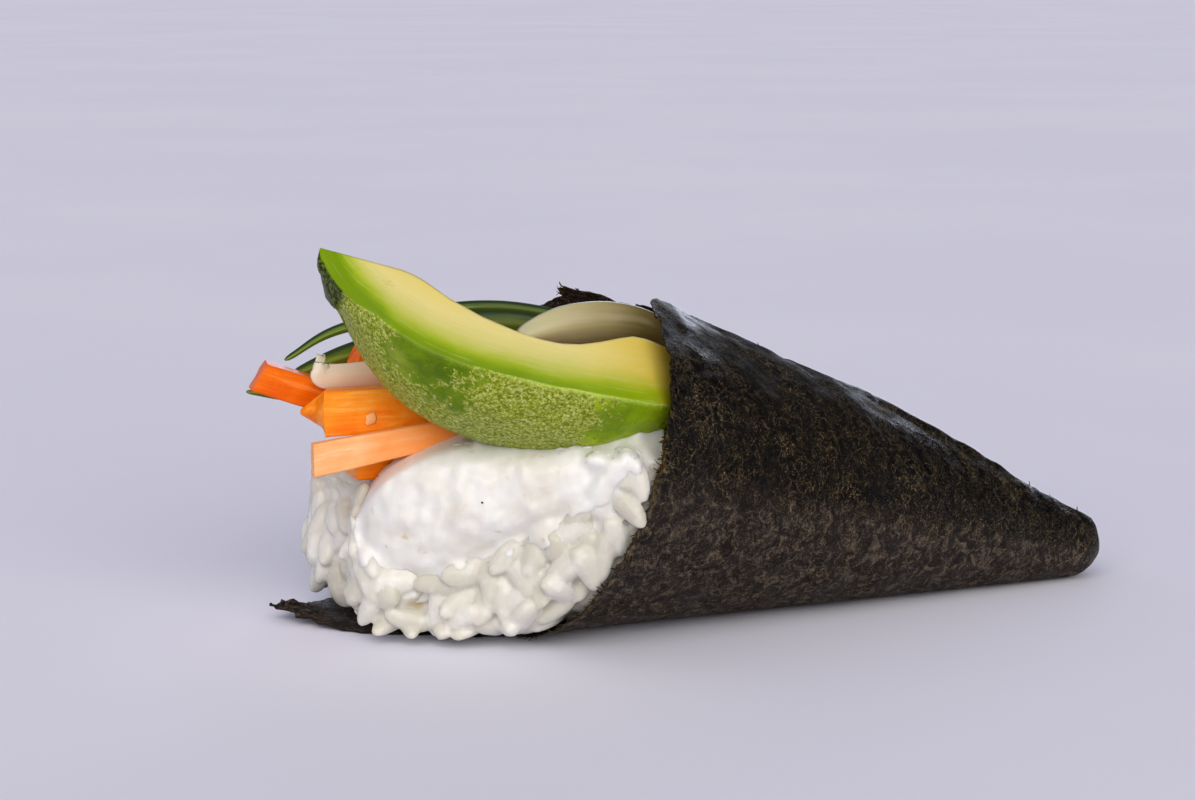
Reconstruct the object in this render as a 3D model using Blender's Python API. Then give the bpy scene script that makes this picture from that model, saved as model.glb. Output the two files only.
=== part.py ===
"""A temaki hand roll, lying on its side.

Half a sheet of nori is rolled into a cone round a bed of sushi rice. A band of cream cheese lies on the
rice, and carrot sticks, onion, green onion leaves and a slice of avocado lie along the cone and stand out of
its mouth.

Lengths are in millimetres until add_solid() turns them into metres. While it is modelled, the roll lies
along -X with the point of its cone at the origin, its lowest line on z = 0 and its near side towards -Y. The
last step moves the whole roll so that the middle of its footprint is the origin.
"""

import math

import bmesh
import bpy
import numpy as np
from mathutils import Vector, noise

MM = 0.001

# The cone of nori
HALF_ANGLE = math.radians(14.0)
NORI_THICK = 0.5  # a sheet is 0.1 to 0.2 mm; it is drawn thicker, so that it is a solid
LAYER_PITCH = 0.75  # from one layer of the spiral to the next, so 0.25 mm stays between them
NOSE_RADIUS = 5.9
NOSE_HOLE = math.radians(6.0)  # the small hole left in the nose, as an angle from the axis
# Turns are in degrees round the cone: 0 is underneath, 90 the near side, 180 the top
FIRST_TURN = -300.0  # where the sheet starts, inside
CORNER_TURN = -31.0  # its corner, flat on the table under the rice
# Where the sheet ends, outside: its free edge runs over the top of the cone. (slant distance, turn)
FREE_EDGE = ((30, 155), (55, 168), (68, 178), (85, 184), (100, 180), (110, 172), (116, 157))
# How far the sheet reaches from the cone's point, as (turn, slant distance). Its corner lies under the rice
RIM = (
    (-300, 108), (-175, 107), (-162, 107.8), (-145, 117.4), (-138, 119), (-90, 131), (-55, 142),
    (-31, 155.5), (-13, 146), (9, 123.5), (41, 119.3), (75, 117.3), (157, 115.3),
)
MOUTH_DIP, DIP_TURN = 1.8, 165.0  # how far the top of the mouth is pressed down, and where
FLAP_FLAT = (112.0, 134.0)  # over this stretch the sheet under the rice goes from round to flat
FLAP_ROOM = 1.4  # more room than usual over the flap, where the sheet twists
FLAP_CURL = 0.6  # how far the flap's corner lifts
RIM_RAGGED = 0.45

CLEARANCE = 0.35  # between one piece of food and the next

# The avocado slice: a wedge of a pear shape, turned round its long axis
SLICE_TIP = Vector((-151.6, 0.0, 60.4))
SLICE_AXIS = Vector((48.5, -14.0, -14.3)).normalized()
SLICE_FACING = Vector((-0.378, -0.912, 0.156))  # the side that the cut face leans towards
SLICE_LENGTH = 80.0
SLICE_RADIUS = 21.8
SLICE_WIDEST = 30.0  # from the tip
SLICE_BEND_FROM = 42.0  # past here it bends down the cone
SLICE_BEND = Vector((0.0, 0.026, -0.0055))  # how much it bends away, for each millimetre squared
SLICE_FACES = (math.radians(-13.0), math.radians(52.0))
STONE_MIDDLE, STONE_HALF, STONE_DEPTH = 32.5, 15.5, 7.5  # the hollow that the stone left
SLICE_EDGE = 0.7  # the blunt inner edge

# The middle of the cream cheese band, from its fat outer end to its thin one inside the mouth
CHEESE_LINE = (
    (-144.6, 4.0, 17.4), (-137, -4.5, 20.2), (-127, -12.5, 24.0), (-116, -19.5, 27.4), (-103, -14, 25.0),
)
CHEESE_LUMP = 0.7

# The rice: a bed pressed into the sheet, seen from above as an outline round its middle
HEAP_MIDDLE = Vector((-117.0, 2.0))
HEAP_PLAN = (
    (-16, -6), (-100, -36), (-112, -28.5), (-124, -17.5), (-137, -7), (-146, -1), (-146.5, 5), (-141.5, 12),
    (-145.5, 17), (-147, 25), (-143, 32), (-134, 40), (-100, 40), (-16, 6),
)
RICE_BASE, RICE_TOP = 0.8, 30.6
RICE_SLOPE = 0.275  # inside the cone its top falls towards the point, and the fillings take the rest
FILLINGS_END = -58.0  # from here to the point there is only rice
RICE_LUMP = 1.1


def smooth_step(low, high, value):
    share = min(1.0, max(0.0, (value - low) / (high - low)))
    return share * share * (3.0 - 2.0 * share)


def read_off(pairs, value):
    """The second number of the pairs where the first is value, on straight lines between them."""
    return float(np.interp(value, [a for a, _ in pairs], [b for _, b in pairs]))


def lumps(point, size, seed=0.0):
    """Smooth noise from -1 to 1, with lumps of about that size."""
    return noise.noise(Vector(point) / size + Vector((seed, 0.37 * seed, -0.71 * seed)))


def material(name, colour, roughness):
    made = bpy.data.materials.new(name)
    made.use_nodes = True
    shader = made.node_tree.nodes["Principled BSDF"]
    shader.inputs["Base Color"].default_value = (*colour, 1.0)
    shader.inputs["Roughness"].default_value = roughness
    shader.inputs["Metallic"].default_value = 0.0
    made.diffuse_color = (*colour, 1.0)
    return made


def add_solid(name, points, faces, look):
    """An object from points in millimetres and faces, with the faces turned outwards."""
    mesh = bpy.data.meshes.new(name)
    mesh.from_pydata([tuple(c * MM for c in p) for p in points], [], faces)
    work = bmesh.new()
    work.from_mesh(mesh)
    bmesh.ops.recalc_face_normals(work, faces=work.faces)
    bmesh.ops.triangulate(work, faces=[f for f in work.faces if len(f.verts) > 4])
    work.to_mesh(mesh)
    work.free()
    mesh.shade_smooth()
    mesh.set_sharp_from_angle(angle=math.radians(40))
    mesh.materials.append(look)
    made = bpy.data.objects.new(name, mesh)
    bpy.context.scene.collection.objects.link(made)
    return made


def loft(rings):
    """Points and faces of a closed body through rings of equal count, with an end face on each end."""
    count = len(rings[0])
    points = [p for ring in rings for p in ring]
    faces = []
    for i in range(len(rings) - 1):
        for j in range(count):
            k = (j + 1) % count
            faces.append((i * count + j, i * count + k, (i + 1) * count + k, (i + 1) * count + j))
    for start in (0, (len(rings) - 1) * count):
        faces.append(tuple(start + j for j in range(count // 2 + 1)))
        faces.append(tuple(start + j % count for j in range(count // 2, count + 1)))
    return points, faces


def curve_through(knots, count):
    """Points evenly spaced in parameter on a smooth curve through the knots."""
    spots = [Vector(k) for k in knots]
    spots = [2 * spots[0] - spots[1], *spots, 2 * spots[-1] - spots[-2]]
    made = []
    for i in range(count):
        place = i / (count - 1) * (len(knots) - 1)
        n = min(int(place), len(knots) - 2)
        t = place - n
        a, b, c, d = spots[n : n + 4]
        squared = 2 * a - 5 * b + 4 * c - d
        cubed = 3 * b - a - 3 * c + d
        made.append(0.5 * (2 * b + (c - a) * t + squared * t**2 + cubed * t**3))
    return made


# ---------------------------------------------------------------- the sheet of nori

AXIS = Vector((-math.cos(HALF_ANGLE), 0.0, math.sin(HALF_ANGLE)))
UNDER = Vector((-math.sin(HALF_ANGLE), 0.0, -math.cos(HALF_ANGLE)))
NEAR = Vector((0.0, -1.0, 0.0))
NOSE_CENTRE = NOSE_RADIUS / math.sin(HALF_ANGLE)  # along the axis
NOSE_START = NOSE_CENTRE * math.cos(HALF_ANGLE)  # the slant distance where the straight wall meets the nose
NOSE_END = NOSE_START - NOSE_RADIUS * (math.pi / 2 - HALF_ANGLE - NOSE_HOLE)


def wall(reach):
    """The cone's side at a slant distance: (along the axis, out from it), and its normal in those terms."""
    if reach >= NOSE_START:
        return (
            (reach * math.cos(HALF_ANGLE), reach * math.sin(HALF_ANGLE)),
            (-math.sin(HALF_ANGLE), math.cos(HALF_ANGLE)),
        )
    angle = math.pi / 2 - HALF_ANGLE - (NOSE_START - reach) / NOSE_RADIUS
    normal = (-math.cos(angle), math.sin(angle))
    return (NOSE_CENTRE + NOSE_RADIUS * normal[0], NOSE_RADIUS * normal[1]), normal


def sheet_point(reach, turn, inwards):
    """A point of the rolled sheet, inwards millimetres in from the cone's nominal outer face."""
    (along, out), normal = wall(reach)
    from_dip = abs((turn + 360.0) % 360.0 - DIP_TURN)
    inwards += MOUTH_DIP * smooth_step(62.0, 112.0, reach) * smooth_step(48.0, 14.0, from_dip)
    angle = math.radians(turn)
    radial = math.cos(angle) * UNDER + math.sin(angle) * NEAR
    rolled = (along - inwards * normal[0]) * AXIS + (out - inwards * normal[1]) * radial
    flat_share = smooth_step(*FLAP_FLAT, reach)
    flat_share *= smooth_step(48.0, 8.0, turn) if turn > -20 else smooth_step(-100.0, -50.0, turn)
    if flat_share <= 0.0:
        return rolled
    unrolled = angle * math.sin(HALF_ANGLE)
    curl = FLAP_CURL * smooth_step(143.0, 156.0, reach)
    flat = Vector((-reach * math.cos(unrolled), -reach * math.sin(unrolled), inwards + curl))
    return rolled.lerp(flat, flat_share)


def sheet_columns():
    """The sheet's lines from nose to rim, in order round the spiral, as lists of (slant distance, turn)."""
    to_corner, past_corner, nose_rows, rows = 32, 24, 3, 10
    last_turn = FREE_EDGE[-1][1]
    rim_turns = [FIRST_TURN + (CORNER_TURN - FIRST_TURN) * i / to_corner for i in range(to_corner)]
    rim_turns += [CORNER_TURN + (last_turn - CORNER_TURN) * i / past_corner for i in range(past_corner + 1)]
    columns = []
    for rim_turn in rim_turns:
        share = (rim_turn - FIRST_TURN) / (last_turn - FIRST_TURN)
        rim = read_off(RIM, rim_turn) + RIM_RAGGED * lumps((rim_turn * 0.5, 0, 0), 3.1)
        reaches = [NOSE_END + (NOSE_START - NOSE_END) * k / nose_rows for k in range(nose_rows)]
        reaches += [NOSE_START + (rim - NOSE_START) * (k / rows) ** 1.15 for k in range(rows + 1)]
        columns.append([(r, FIRST_TURN + share * (read_off(FREE_EDGE, r) - FIRST_TURN)) for r in reaches])
    return columns


def layer(reach, turn):
    """How far in the spiral has run, from the cone's nominal outer face. The flap lies in one plane."""
    run = -LAYER_PITCH * turn / 360.0
    return run * (1.0 - smooth_step(*FLAP_FLAT, reach)) if abs(turn) < 90.0 else run


def nori_wrap(look):
    """The sheet as a spiral of one and a third turns, from its edge inside to its free edge outside."""
    columns = sheet_columns()
    rows = len(columns[0])
    outer = [sheet_point(*spot, layer(*spot)) for column in columns for spot in column]
    inner = [sheet_point(*spot, layer(*spot) + NORI_THICK) for column in columns for spot in column]
    shift = len(outer)
    faces = []
    for i in range(len(columns) - 1):
        a, b = i * rows, (i + 1) * rows
        for j in range(rows - 1):
            faces.append((a + j, b + j, b + j + 1, a + j + 1))
            faces.append((a + j + shift, a + j + 1 + shift, b + j + 1 + shift, b + j + shift))
        for j in (0, rows - 1):
            faces.append((a + j, a + j + shift, b + j + shift, b + j))
    for a in (0, (len(columns) - 1) * rows):
        for j in range(a, a + rows - 1):
            faces.append((j, j + 1, j + 1 + shift, j + shift))
    return add_solid("nori_wrap", outer + inner, faces, look)


def inside_sheet(reach, turn):
    """A point just clear of the innermost layer of the sheet, for a turn from -180 to 180."""
    single = layer(reach, turn) + NORI_THICK
    double = layer(reach, turn - 360.0) + NORI_THICK
    room = CLEARANCE + FLAP_ROOM * smooth_step(*FLAP_FLAT, reach)
    return sheet_point(reach, turn, single + (double - single) * smooth_step(15.0, 55.0, turn) + room)


# ---------------------------------------------------------------- the avocado slice


def slice_radius(along):
    """From the long axis out to the skin."""
    if along < SLICE_WIDEST:
        return SLICE_RADIUS * (1.0 - ((SLICE_WIDEST - along) / SLICE_WIDEST) ** 2) ** 0.7
    return SLICE_RADIUS * (1.0 - ((along - SLICE_WIDEST) / (SLICE_LENGTH - SLICE_WIDEST)) ** 2)


def slice_hollow(along):
    """From the long axis out to the flesh, where the stone was."""
    return STONE_DEPTH * max(0.0, 1.0 - ((along - STONE_MIDDLE) / STONE_HALF) ** 2)


def slice_axis_point(along):
    past = max(0.0, along - SLICE_BEND_FROM)
    return SLICE_TIP + SLICE_AXIS * along + SLICE_BEND * past * past


def avocado_slice(look):
    facing = (SLICE_FACING - SLICE_FACING.dot(SLICE_AXIS) * SLICE_AXIS).normalized()
    down = SLICE_AXIS.cross(facing)
    if down.z > 0:
        down = -down
    low, high = SLICE_FACES
    across, round_skin, round_stone, stations = 4, 8, 3, 25
    rings = []
    for i in range(stations + 1):
        along = SLICE_LENGTH * (1.0 - math.cos(math.pi * (0.045 + 0.91 * i / stations))) / 2
        outer = slice_radius(along)
        inner = min(SLICE_EDGE + slice_hollow(along), 0.8 * outer)
        places = [(high, inner + (outer - inner) * k / across) for k in range(across)]
        places += [(high + (low - high) * k / round_skin, outer) for k in range(round_skin)]
        places += [(low, outer + (inner - outer) * k / across) for k in range(across)]
        places += [(low + (high - low) * k / round_stone, inner) for k in range(round_stone)]
        centre = slice_axis_point(along)
        rings.append([centre + r * (math.cos(a) * down + math.sin(a) * facing) for a, r in places])
    return add_solid("avocado_slice", *loft(rings), look)


# ---------------------------------------------------------------- the carrot sticks

STICK_SECTION = ((-1, -0.3), (-1, -1), (0, -1), (1, -1), (1, -0.3), (1, 1), (0, 1), (-1, 1))
# Its outer end, its hidden end, (thickness, height) at each, its roll in degrees and its outer end's slant
STICKS = {
    "front": ((-149.6, 6, 34.7), (-112, 5, 34.6), ((5.6, 6.9), (5.2, 6.2)), -3, (0, 0, 2.8)),
    "back": ((-156.8, 16.4, 39.3), (-122, 15.4, 26.8), ((5, 4.7), (4.8, 4.4)), 3, (0.4, 0.5, 0)),
    "low": ((-145.2, 8, 26.6), (-112, 7, 27.2), ((5.4, 5.1), (5, 4.8)), 0, (0, -0.6, 0)),
    "inner": ((-141.6, 14.2, 42.8), (-110, 13.6, 36.4), ((4.2, 5.2), (4, 4.4)), 6, (0, 0.7, 0)),
    "ribbon": ((-152.4, 1, 28.5), (-124, -0.6, 32.7), ((1.9, 5), (1.8, 3.2)), 0, (0, -0.5, 0)),
}
STICK_WAVE = 0.22  # how uneven the knife left the sides


def carrot_stick(name, end, far_end, size, roll, slant, look):
    """A stick cut with a knife, from the middle of its outer end to the middle of its hidden one.

    size is (thickness, height) at the outer end and at the hidden one. slant leans the outer end's cut,
    across its thickness and up its height, and brings its middle out to a ridge."""
    start, stop = Vector(end), Vector(far_end)
    along = (stop - start).normalized()
    side = Vector((0, 0, 1)).cross(along).normalized()
    tall = along.cross(side)
    turned = math.radians(roll)
    side, tall = (
        math.cos(turned) * side + math.sin(turned) * tall,
        math.cos(turned) * tall - math.sin(turned) * side,
    )
    stations = 6
    rings = []
    for i in range(stations + 1):
        share = i / stations
        wide = size[0][0] + (size[1][0] - size[0][0]) * share
        high = size[0][1] + (size[1][1] - size[0][1]) * share
        ring = []
        for k, (a, b) in enumerate(STICK_SECTION):
            lean = (1.0 - share) ** 3 * (a * slant[0] + b * slant[1] + (abs(b) - 1) * slant[2])
            wave = STICK_WAVE * lumps((share * 5, k * 1.7, wide), 1.0, len(name))
            ring.append(
                start.lerp(stop, share)
                + along * lean
                + side * (a * (wide / 2 + wave))
                + tall * (b * (high / 2 + wave))
            )
        rings.append(ring)
    return add_solid(name, *loft(rings), look)


# ---------------------------------------------------------------- onion and green onion

PETAL_LINE = ((-117.6, 8.2, 44.5), (-108, 7.2, 46.0), (-98, 5.6, 45.1), (-88, 3.2, 40.0))
STRIP_LINE = (
    (-148.5, 10.4, 42.9), (-148.8, 10.4, 41), (-147.2, 10.5, 39.4), (-139, 10.6, 39.5), (-127, 10.4, 39.4),
)
LEAF_THIN_LINE = ((-149.8, 26, 40), (-140, 26, 44.6), (-121, 24, 47.2), (-109, 18.6, 46.4), (-97, 14.5, 42))
LEAF_WIDE_LINE = (
    (-150.6, 20.2, 38.4), (-140, 20.2, 41.5), (-120, 19.4, 45.2), (-108, 15.6, 43.6), (-97, 11.5, 38.5),
)
LEAF_LOW_LINE = ((-157, 21.6, 36), (-151, 21.2, 34.2), (-143, 20.8, 33.6), (-130, 19.6, 31.6))
LEAF_UNDER_LINE = ((-149.2, 5.4, 30.3), (-144, 5.8, 30.2), (-136, 6.2, 30.15), (-126, 6.4, 30.1))


def ribbon(name, knots, tall, width, thickness, bow, look, stations=13, across=6):
    """A curved strip of one onion layer along a smooth curve.

    width(share) is how tall it is along the way, in the direction tall, and bow how far its middle stands
    out."""
    line = curve_through(knots, stations + 1)
    rings = []
    for i, middle in enumerate(line):
        share = i / stations
        along = (line[min(i + 1, stations)] - line[max(i - 1, 0)]).normalized()
        up = (Vector(tall) - Vector(tall).dot(along) * along).normalized()
        out = along.cross(up)
        half = width(share) / 2
        front = [(2.0 * k / across - 1.0, 1.0) for k in range(across + 1)]
        back = [(1.0 - 2.0 * k / across, -1.0) for k in range(across + 1)]
        ring = []
        for a, b in front + back:
            thin = 1.0 - 0.55 * a * a
            ring.append(middle + up * (a * half) + out * (bow * (1 - a * a) + b * thin * thickness / 2))
        rings.append(ring)
    return add_solid(name, *loft(rings), look)


def onion_petal_width(share):
    """A lens, blunt at both ends."""
    return 0.9 + 5.7 * math.sin(math.pi * (0.02 + 0.9 * share**0.75)) ** 0.9


def onion_strip_width(share):
    """A narrow curled tip that widens into the strip."""
    return 1.3 + 2.6 * smooth_step(0.12, 0.42, share)


def onion_leaf(name, knots, thick, flat, look, stations=14, sides=8):
    """A green onion leaf: a flattened tube that narrows to its tip, along a smooth curve."""
    line = curve_through(knots, stations + 1)
    rings = []
    for i, middle in enumerate(line):
        share = i / stations
        along = (line[min(i + 1, stations)] - line[max(i - 1, 0)]).normalized()
        side = Vector((0, 0, 1)).cross(along).normalized()
        up = along.cross(side)
        tall = thick * (0.16 + 0.84 * smooth_step(0.0, 0.35, share)) / 2
        rings.append(
            [
                middle
                + up * (tall * math.sin(2 * math.pi * k / sides))
                + side * (tall * flat * math.cos(2 * math.pi * k / sides))
                for k in range(sides)
            ]
        )
    return add_solid(name, *loft(rings), look)


# ---------------------------------------------------------------- cream cheese and rice


def cream_cheese(look):
    """A spread band, fat at its outer end, which thins out along the near side of the mouth."""
    stations, sides, squareness = 20, 16, 2.6
    line = curve_through(CHEESE_LINE, stations + 1)
    rings = []
    for i, middle in enumerate(line):
        share = i / stations
        along = (line[min(i + 1, stations)] - line[max(i - 1, 0)]).normalized()
        side = Vector((0, 0, 1)).cross(along).normalized()
        up = along.cross(side)
        from_end = 1.0 - min(1.0, share / 0.24)
        rounded = 0.18 + 0.82 * math.sqrt(1.0 - from_end * from_end)
        tall = rounded * (9.4 - 6.0 * smooth_step(0.2, 0.85, share))
        deep = rounded * (5.2 - 2.4 * smooth_step(0.3, 1.0, share))
        ring = []
        for k in range(sides):
            angle = 2 * math.pi * k / sides
            c, s = math.cos(angle), math.sin(angle)
            swell = (abs(c) ** squareness + abs(s) ** squareness) ** (-1 / squareness)
            spot = middle + side * (deep * swell * c) + up * (tall * swell * s)
            ring.append(spot + (spot - middle).normalized() * CHEESE_LUMP * lumps(spot, 6.0, 3.0))
        rings.append(ring)
    return add_solid("cream_cheese", *loft(rings), look)


def rice_top(x, y):
    """How high the bed of rice stands, before the fillings press into it."""
    if x > FILLINGS_END:
        return 45.0
    if x > -111.0:
        return RICE_SLOPE * abs(x)
    front = RICE_TOP - 10.5 * smooth_step(-133.0, -147.0, x)
    back = RICE_TOP - 6.4 * smooth_step(-116.0, -136.0, x)
    return front + (back - front) * smooth_step(4.0, 13.0, y)


def plan_reach(angle):
    """How far the heap's outline is from its middle, seen from above."""
    direction = Vector((math.cos(angle), math.sin(angle)))
    found = []
    corners = [Vector(c) - HEAP_MIDDLE for c in HEAP_PLAN]
    for a, b in zip(corners, corners[1:] + corners[:1]):
        edge = b - a
        across = direction.x * edge.y - direction.y * edge.x
        if abs(across) < 1e-9:
            continue
        distance = (a.x * edge.y - a.y * edge.x) / across
        place = (a.x * direction.y - a.y * direction.x) / across
        if distance > 0 and -1e-6 <= place <= 1 + 1e-6:
            found.append(distance)
    return min(found)


def rice_heap():
    """The free faces of the rice: a lumpy pillow, wider at half height, with the top from rice_top."""
    turns = 64
    top_shares = (0.3, 0.52, 0.7, 0.84, 0.94)
    sides = ((1.0, 0.93), (0.985, 0.8), (1.01, 0.62), (1.015, 0.45), (1.0, 0.28), (0.965, 0.13), (0.93, 0.0))
    angles = [2 * math.pi * i / turns for i in range(turns)]
    reaches = [plan_reach(a) for a in angles]
    reaches = [(reaches[i - 1] + 2 * reaches[i] + reaches[(i + 1) % turns]) / 4 for i in range(turns)]

    def spot(i, share, height):
        x = HEAP_MIDDLE.x + reaches[i] * share * math.cos(angles[i])
        y = HEAP_MIDDLE.y + reaches[i] * share * math.sin(angles[i])
        top = rice_top(x, y)
        return Vector((x, y, RICE_BASE + (top - RICE_BASE) * height))

    rings = [[spot(i, share, 1.0) for i in range(turns)] for share in top_shares]
    rings += [[spot(i, share, height) for i in range(turns)] for share, height in sides]
    rings.append([spot(i, 0.8, 0.0) - Vector((0, 0, 5.0)) for i in range(turns)])
    middle = Vector((HEAP_MIDDLE.x, HEAP_MIDDLE.y, 12.0))
    for ring in rings:
        for k, p in enumerate(ring):
            if p.x < -100.0:
                out = (p - middle).normalized()
                size = RICE_LUMP * (1.0 - 0.7 * smooth_step(24.0, 29.0, p.z))
                ring[k] = p + out * size * (lumps(p, 4.2) + 0.6 * lumps(p, 2.3, 5.0))
    return loft(rings)


def rice_plug():
    """All the room inside the sheet, carried on past its rim."""
    columns = [column[3:] for column in sheet_columns() if column[-1][1] > -180.0]
    rings = [[inside_sheet(*column[k]) for column in columns] for k in range(len(columns[0]))]
    for further in (4.0, 9.0, 16.0, 26.0, 40.0):
        rings.append([inside_sheet(column[-1][0] + further, column[-1][1]) for column in columns])
    return loft(rings)


def helper(name, points, faces):
    """A guide or cutter, which isn't part of the roll."""
    made = add_solid(name, points, faces, bpy.data.materials["rice"])
    made.hide_render = True
    made.display_type = "WIRE"
    return made


def swollen(solid):
    """A cutter of a solid's own shape, larger all round by the clearance."""
    graph = bpy.context.evaluated_depsgraph_get()
    work = bmesh.new()
    work.from_object(solid, graph)
    work.normal_update()
    moved = [v.co + v.normal * min(2.5, v.calc_shell_factor()) * CLEARANCE * MM for v in work.verts]
    for v, co in zip(work.verts, moved):
        v.co = co
    mesh = bpy.data.meshes.new(solid.name + "_cutter")
    work.to_mesh(mesh)
    work.free()
    made = bpy.data.objects.new(solid.name + "_cutter", mesh)
    made.hide_render = True
    made.display_type = "WIRE"
    bpy.context.scene.collection.objects.link(made)
    return made


def boolean(solid, other, operation):
    step = solid.modifiers.new(f"{operation.lower()} {other.name}", "BOOLEAN")
    step.operation = operation
    step.solver = "EXACT"
    step.object = other


def stand_on_origin():
    """Moves every object so that the middle of the roll's footprint is the origin."""
    bpy.context.view_layer.update()
    graph = bpy.context.evaluated_depsgraph_get()
    shown = [o for o in bpy.data.objects if o.type == "MESH" and not o.hide_render]
    corners = np.array([v.co for o in shown for v in o.evaluated_get(graph).data.vertices])
    low, high = corners.min(0), corners.max(0)
    shift = Vector((-(low[0] + high[0]) / 2, -(low[1] + high[1]) / 2, -low[2]))
    for o in bpy.data.objects:
        o.location = shift


def main():
    for old in list(bpy.data.objects):
        bpy.data.objects.remove(old, do_unlink=True)
    nori = material("nori", (0.020, 0.022, 0.014), 0.45)
    avocado = material("avocado", (0.42, 0.55, 0.10), 0.45)
    carrot = material("carrot", (0.90, 0.27, 0.03), 0.4)
    pale_carrot = material("pale_carrot", (0.92, 0.42, 0.12), 0.4)
    onion = material("onion", (0.66, 0.63, 0.45), 0.35)
    leaf = material("leaf", (0.07, 0.19, 0.03), 0.4)
    cheese = material("cheese", (0.87, 0.85, 0.80), 0.5)
    rice_look = material("rice", (0.80, 0.80, 0.76), 0.35)

    nori_wrap(nori)
    fillings = [
        avocado_slice(avocado),
        carrot_stick("carrot_front", *STICKS["front"], carrot),
        carrot_stick("carrot_back", *STICKS["back"], carrot),
        carrot_stick("carrot_low", *STICKS["low"], carrot),
        carrot_stick("carrot_inner", *STICKS["inner"], carrot),
        carrot_stick("carrot_ribbon", *STICKS["ribbon"], pale_carrot),
        ribbon("onion_petal", PETAL_LINE, (0.05, -0.1, 1.0), onion_petal_width, 1.5, 1.4, onion),
        ribbon("onion_strip", STRIP_LINE, (0.2, 0, 1.0), onion_strip_width, 1.2, 0.3, onion),
        onion_leaf("leaf_thin", LEAF_THIN_LINE, 1.9, 0.8, leaf),
        onion_leaf("leaf_wide", LEAF_WIDE_LINE, 3.9, 0.4, leaf),
        onion_leaf("leaf_low", LEAF_LOW_LINE, 2.0, 0.7, leaf),
        onion_leaf("leaf_under", LEAF_UNDER_LINE, 1.1, 1.8, leaf),
    ]
    cheese_band = cream_cheese(cheese)
    cutters = [swollen(solid) for solid in fillings]
    for cutter in cutters:
        boolean(cheese_band, cutter, "DIFFERENCE")
    rice = add_solid("rice_bed", *rice_plug(), rice_look)
    boolean(rice, helper("heap", *rice_heap()), "INTERSECT")
    for cutter in [*cutters, swollen(cheese_band)]:
        boolean(rice, cutter, "DIFFERENCE")
    stand_on_origin()


main()
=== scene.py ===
"""The looks of a temaki hand roll: its nori, rice, cream cheese, avocado, carrot, onion and green onion.

The roll is described in millimetres from the point of its cone: it lies along -X, its lowest line is on
z = 0 and its near side is towards -Y. make_piece() moves what is made there to its place in the frame.
"""

import math

import bmesh
import bpy
import numpy as np
from mathutils import Matrix, Vector, noise
from mathutils.bvhtree import BVHTree


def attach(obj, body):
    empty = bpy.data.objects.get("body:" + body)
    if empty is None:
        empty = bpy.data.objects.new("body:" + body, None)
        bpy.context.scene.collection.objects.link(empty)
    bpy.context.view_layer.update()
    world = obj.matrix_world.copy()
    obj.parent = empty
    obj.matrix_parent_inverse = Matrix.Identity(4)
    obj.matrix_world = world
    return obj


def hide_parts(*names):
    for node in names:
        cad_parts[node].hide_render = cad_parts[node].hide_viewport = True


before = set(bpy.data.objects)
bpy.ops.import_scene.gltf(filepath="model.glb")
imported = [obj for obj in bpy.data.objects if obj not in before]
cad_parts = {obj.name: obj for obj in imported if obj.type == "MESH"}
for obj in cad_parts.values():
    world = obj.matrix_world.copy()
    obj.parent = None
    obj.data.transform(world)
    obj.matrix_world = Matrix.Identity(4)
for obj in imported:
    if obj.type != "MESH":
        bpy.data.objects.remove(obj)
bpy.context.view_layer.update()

# ---------------------------------------------------------------- nori
# Half a sheet of dried and toasted seaweed, 0.2 mm thick, rolled round the filling into a cone of one and a
# third turns. It is pressed from shreds into a felt, almost black, and olive or ochre where it is thin.
# Turns are degrees round the cone from its lowest line, and reaches are slant distances from its point.

MM = 0.001
CONE_POINT = Vector((88.04, -4.83, 0.0))  # from the middle of the footprint, which is the frame's origin

HALF_ANGLE = math.radians(14.0)
NOSE_RADIUS = 5.9
NOSE_HOLE = math.radians(6.0)
LAYER_PITCH = 0.75
SHEET_OUTSIDE, SHEET_INSIDE = 0.1, 0.32  # how far in the two faces lie from the frame's outer face
FIRST_TURN = -300.0
FREE_EDGE = ((30, 155), (55, 168), (68, 178), (85, 184), (100, 180), (110, 172), (116, 157))
RIM = (
    (-300, 108), (-175, 107), (-162, 107.8), (-145, 117.4), (-138, 119), (-90, 131), (-55, 142),
    (-31, 155.5), (-13, 146), (9, 123.5), (41, 119.3), (75, 117.3), (157, 115.3),
)
MOUTH_DIP, DIP_TURN = 1.8, 165.0
FLAP_FLAT = (112.0, 134.0)
FLAP_CURL = 0.6
RIM_RAGGED = 0.45

AXIS = Vector((-math.cos(HALF_ANGLE), 0.0, math.sin(HALF_ANGLE)))
UNDER = Vector((-math.sin(HALF_ANGLE), 0.0, -math.cos(HALF_ANGLE)))
NEAR = Vector((0.0, -1.0, 0.0))
NOSE_CENTRE = NOSE_RADIUS / math.sin(HALF_ANGLE)
NOSE_START = NOSE_CENTRE * math.cos(HALF_ANGLE)
NOSE_END = NOSE_START - NOSE_RADIUS * (math.pi / 2 - HALF_ANGLE - NOSE_HOLE)


def smooth_step(low, high, value):
    share = min(1.0, max(0.0, (value - low) / (high - low)))
    return share * share * (3.0 - 2.0 * share)


def read_off(pairs, value):
    """The second number of the pairs where the first is value, on straight lines between them."""
    return float(np.interp(value, [a for a, _ in pairs], [b for _, b in pairs]))


def lumps(point, size, seed=0.0):
    """Smooth noise from -1 to 1, with lumps of about that size."""
    return noise.noise(Vector(point) / size + Vector((seed, 0.37 * seed, -0.71 * seed)))


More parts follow.
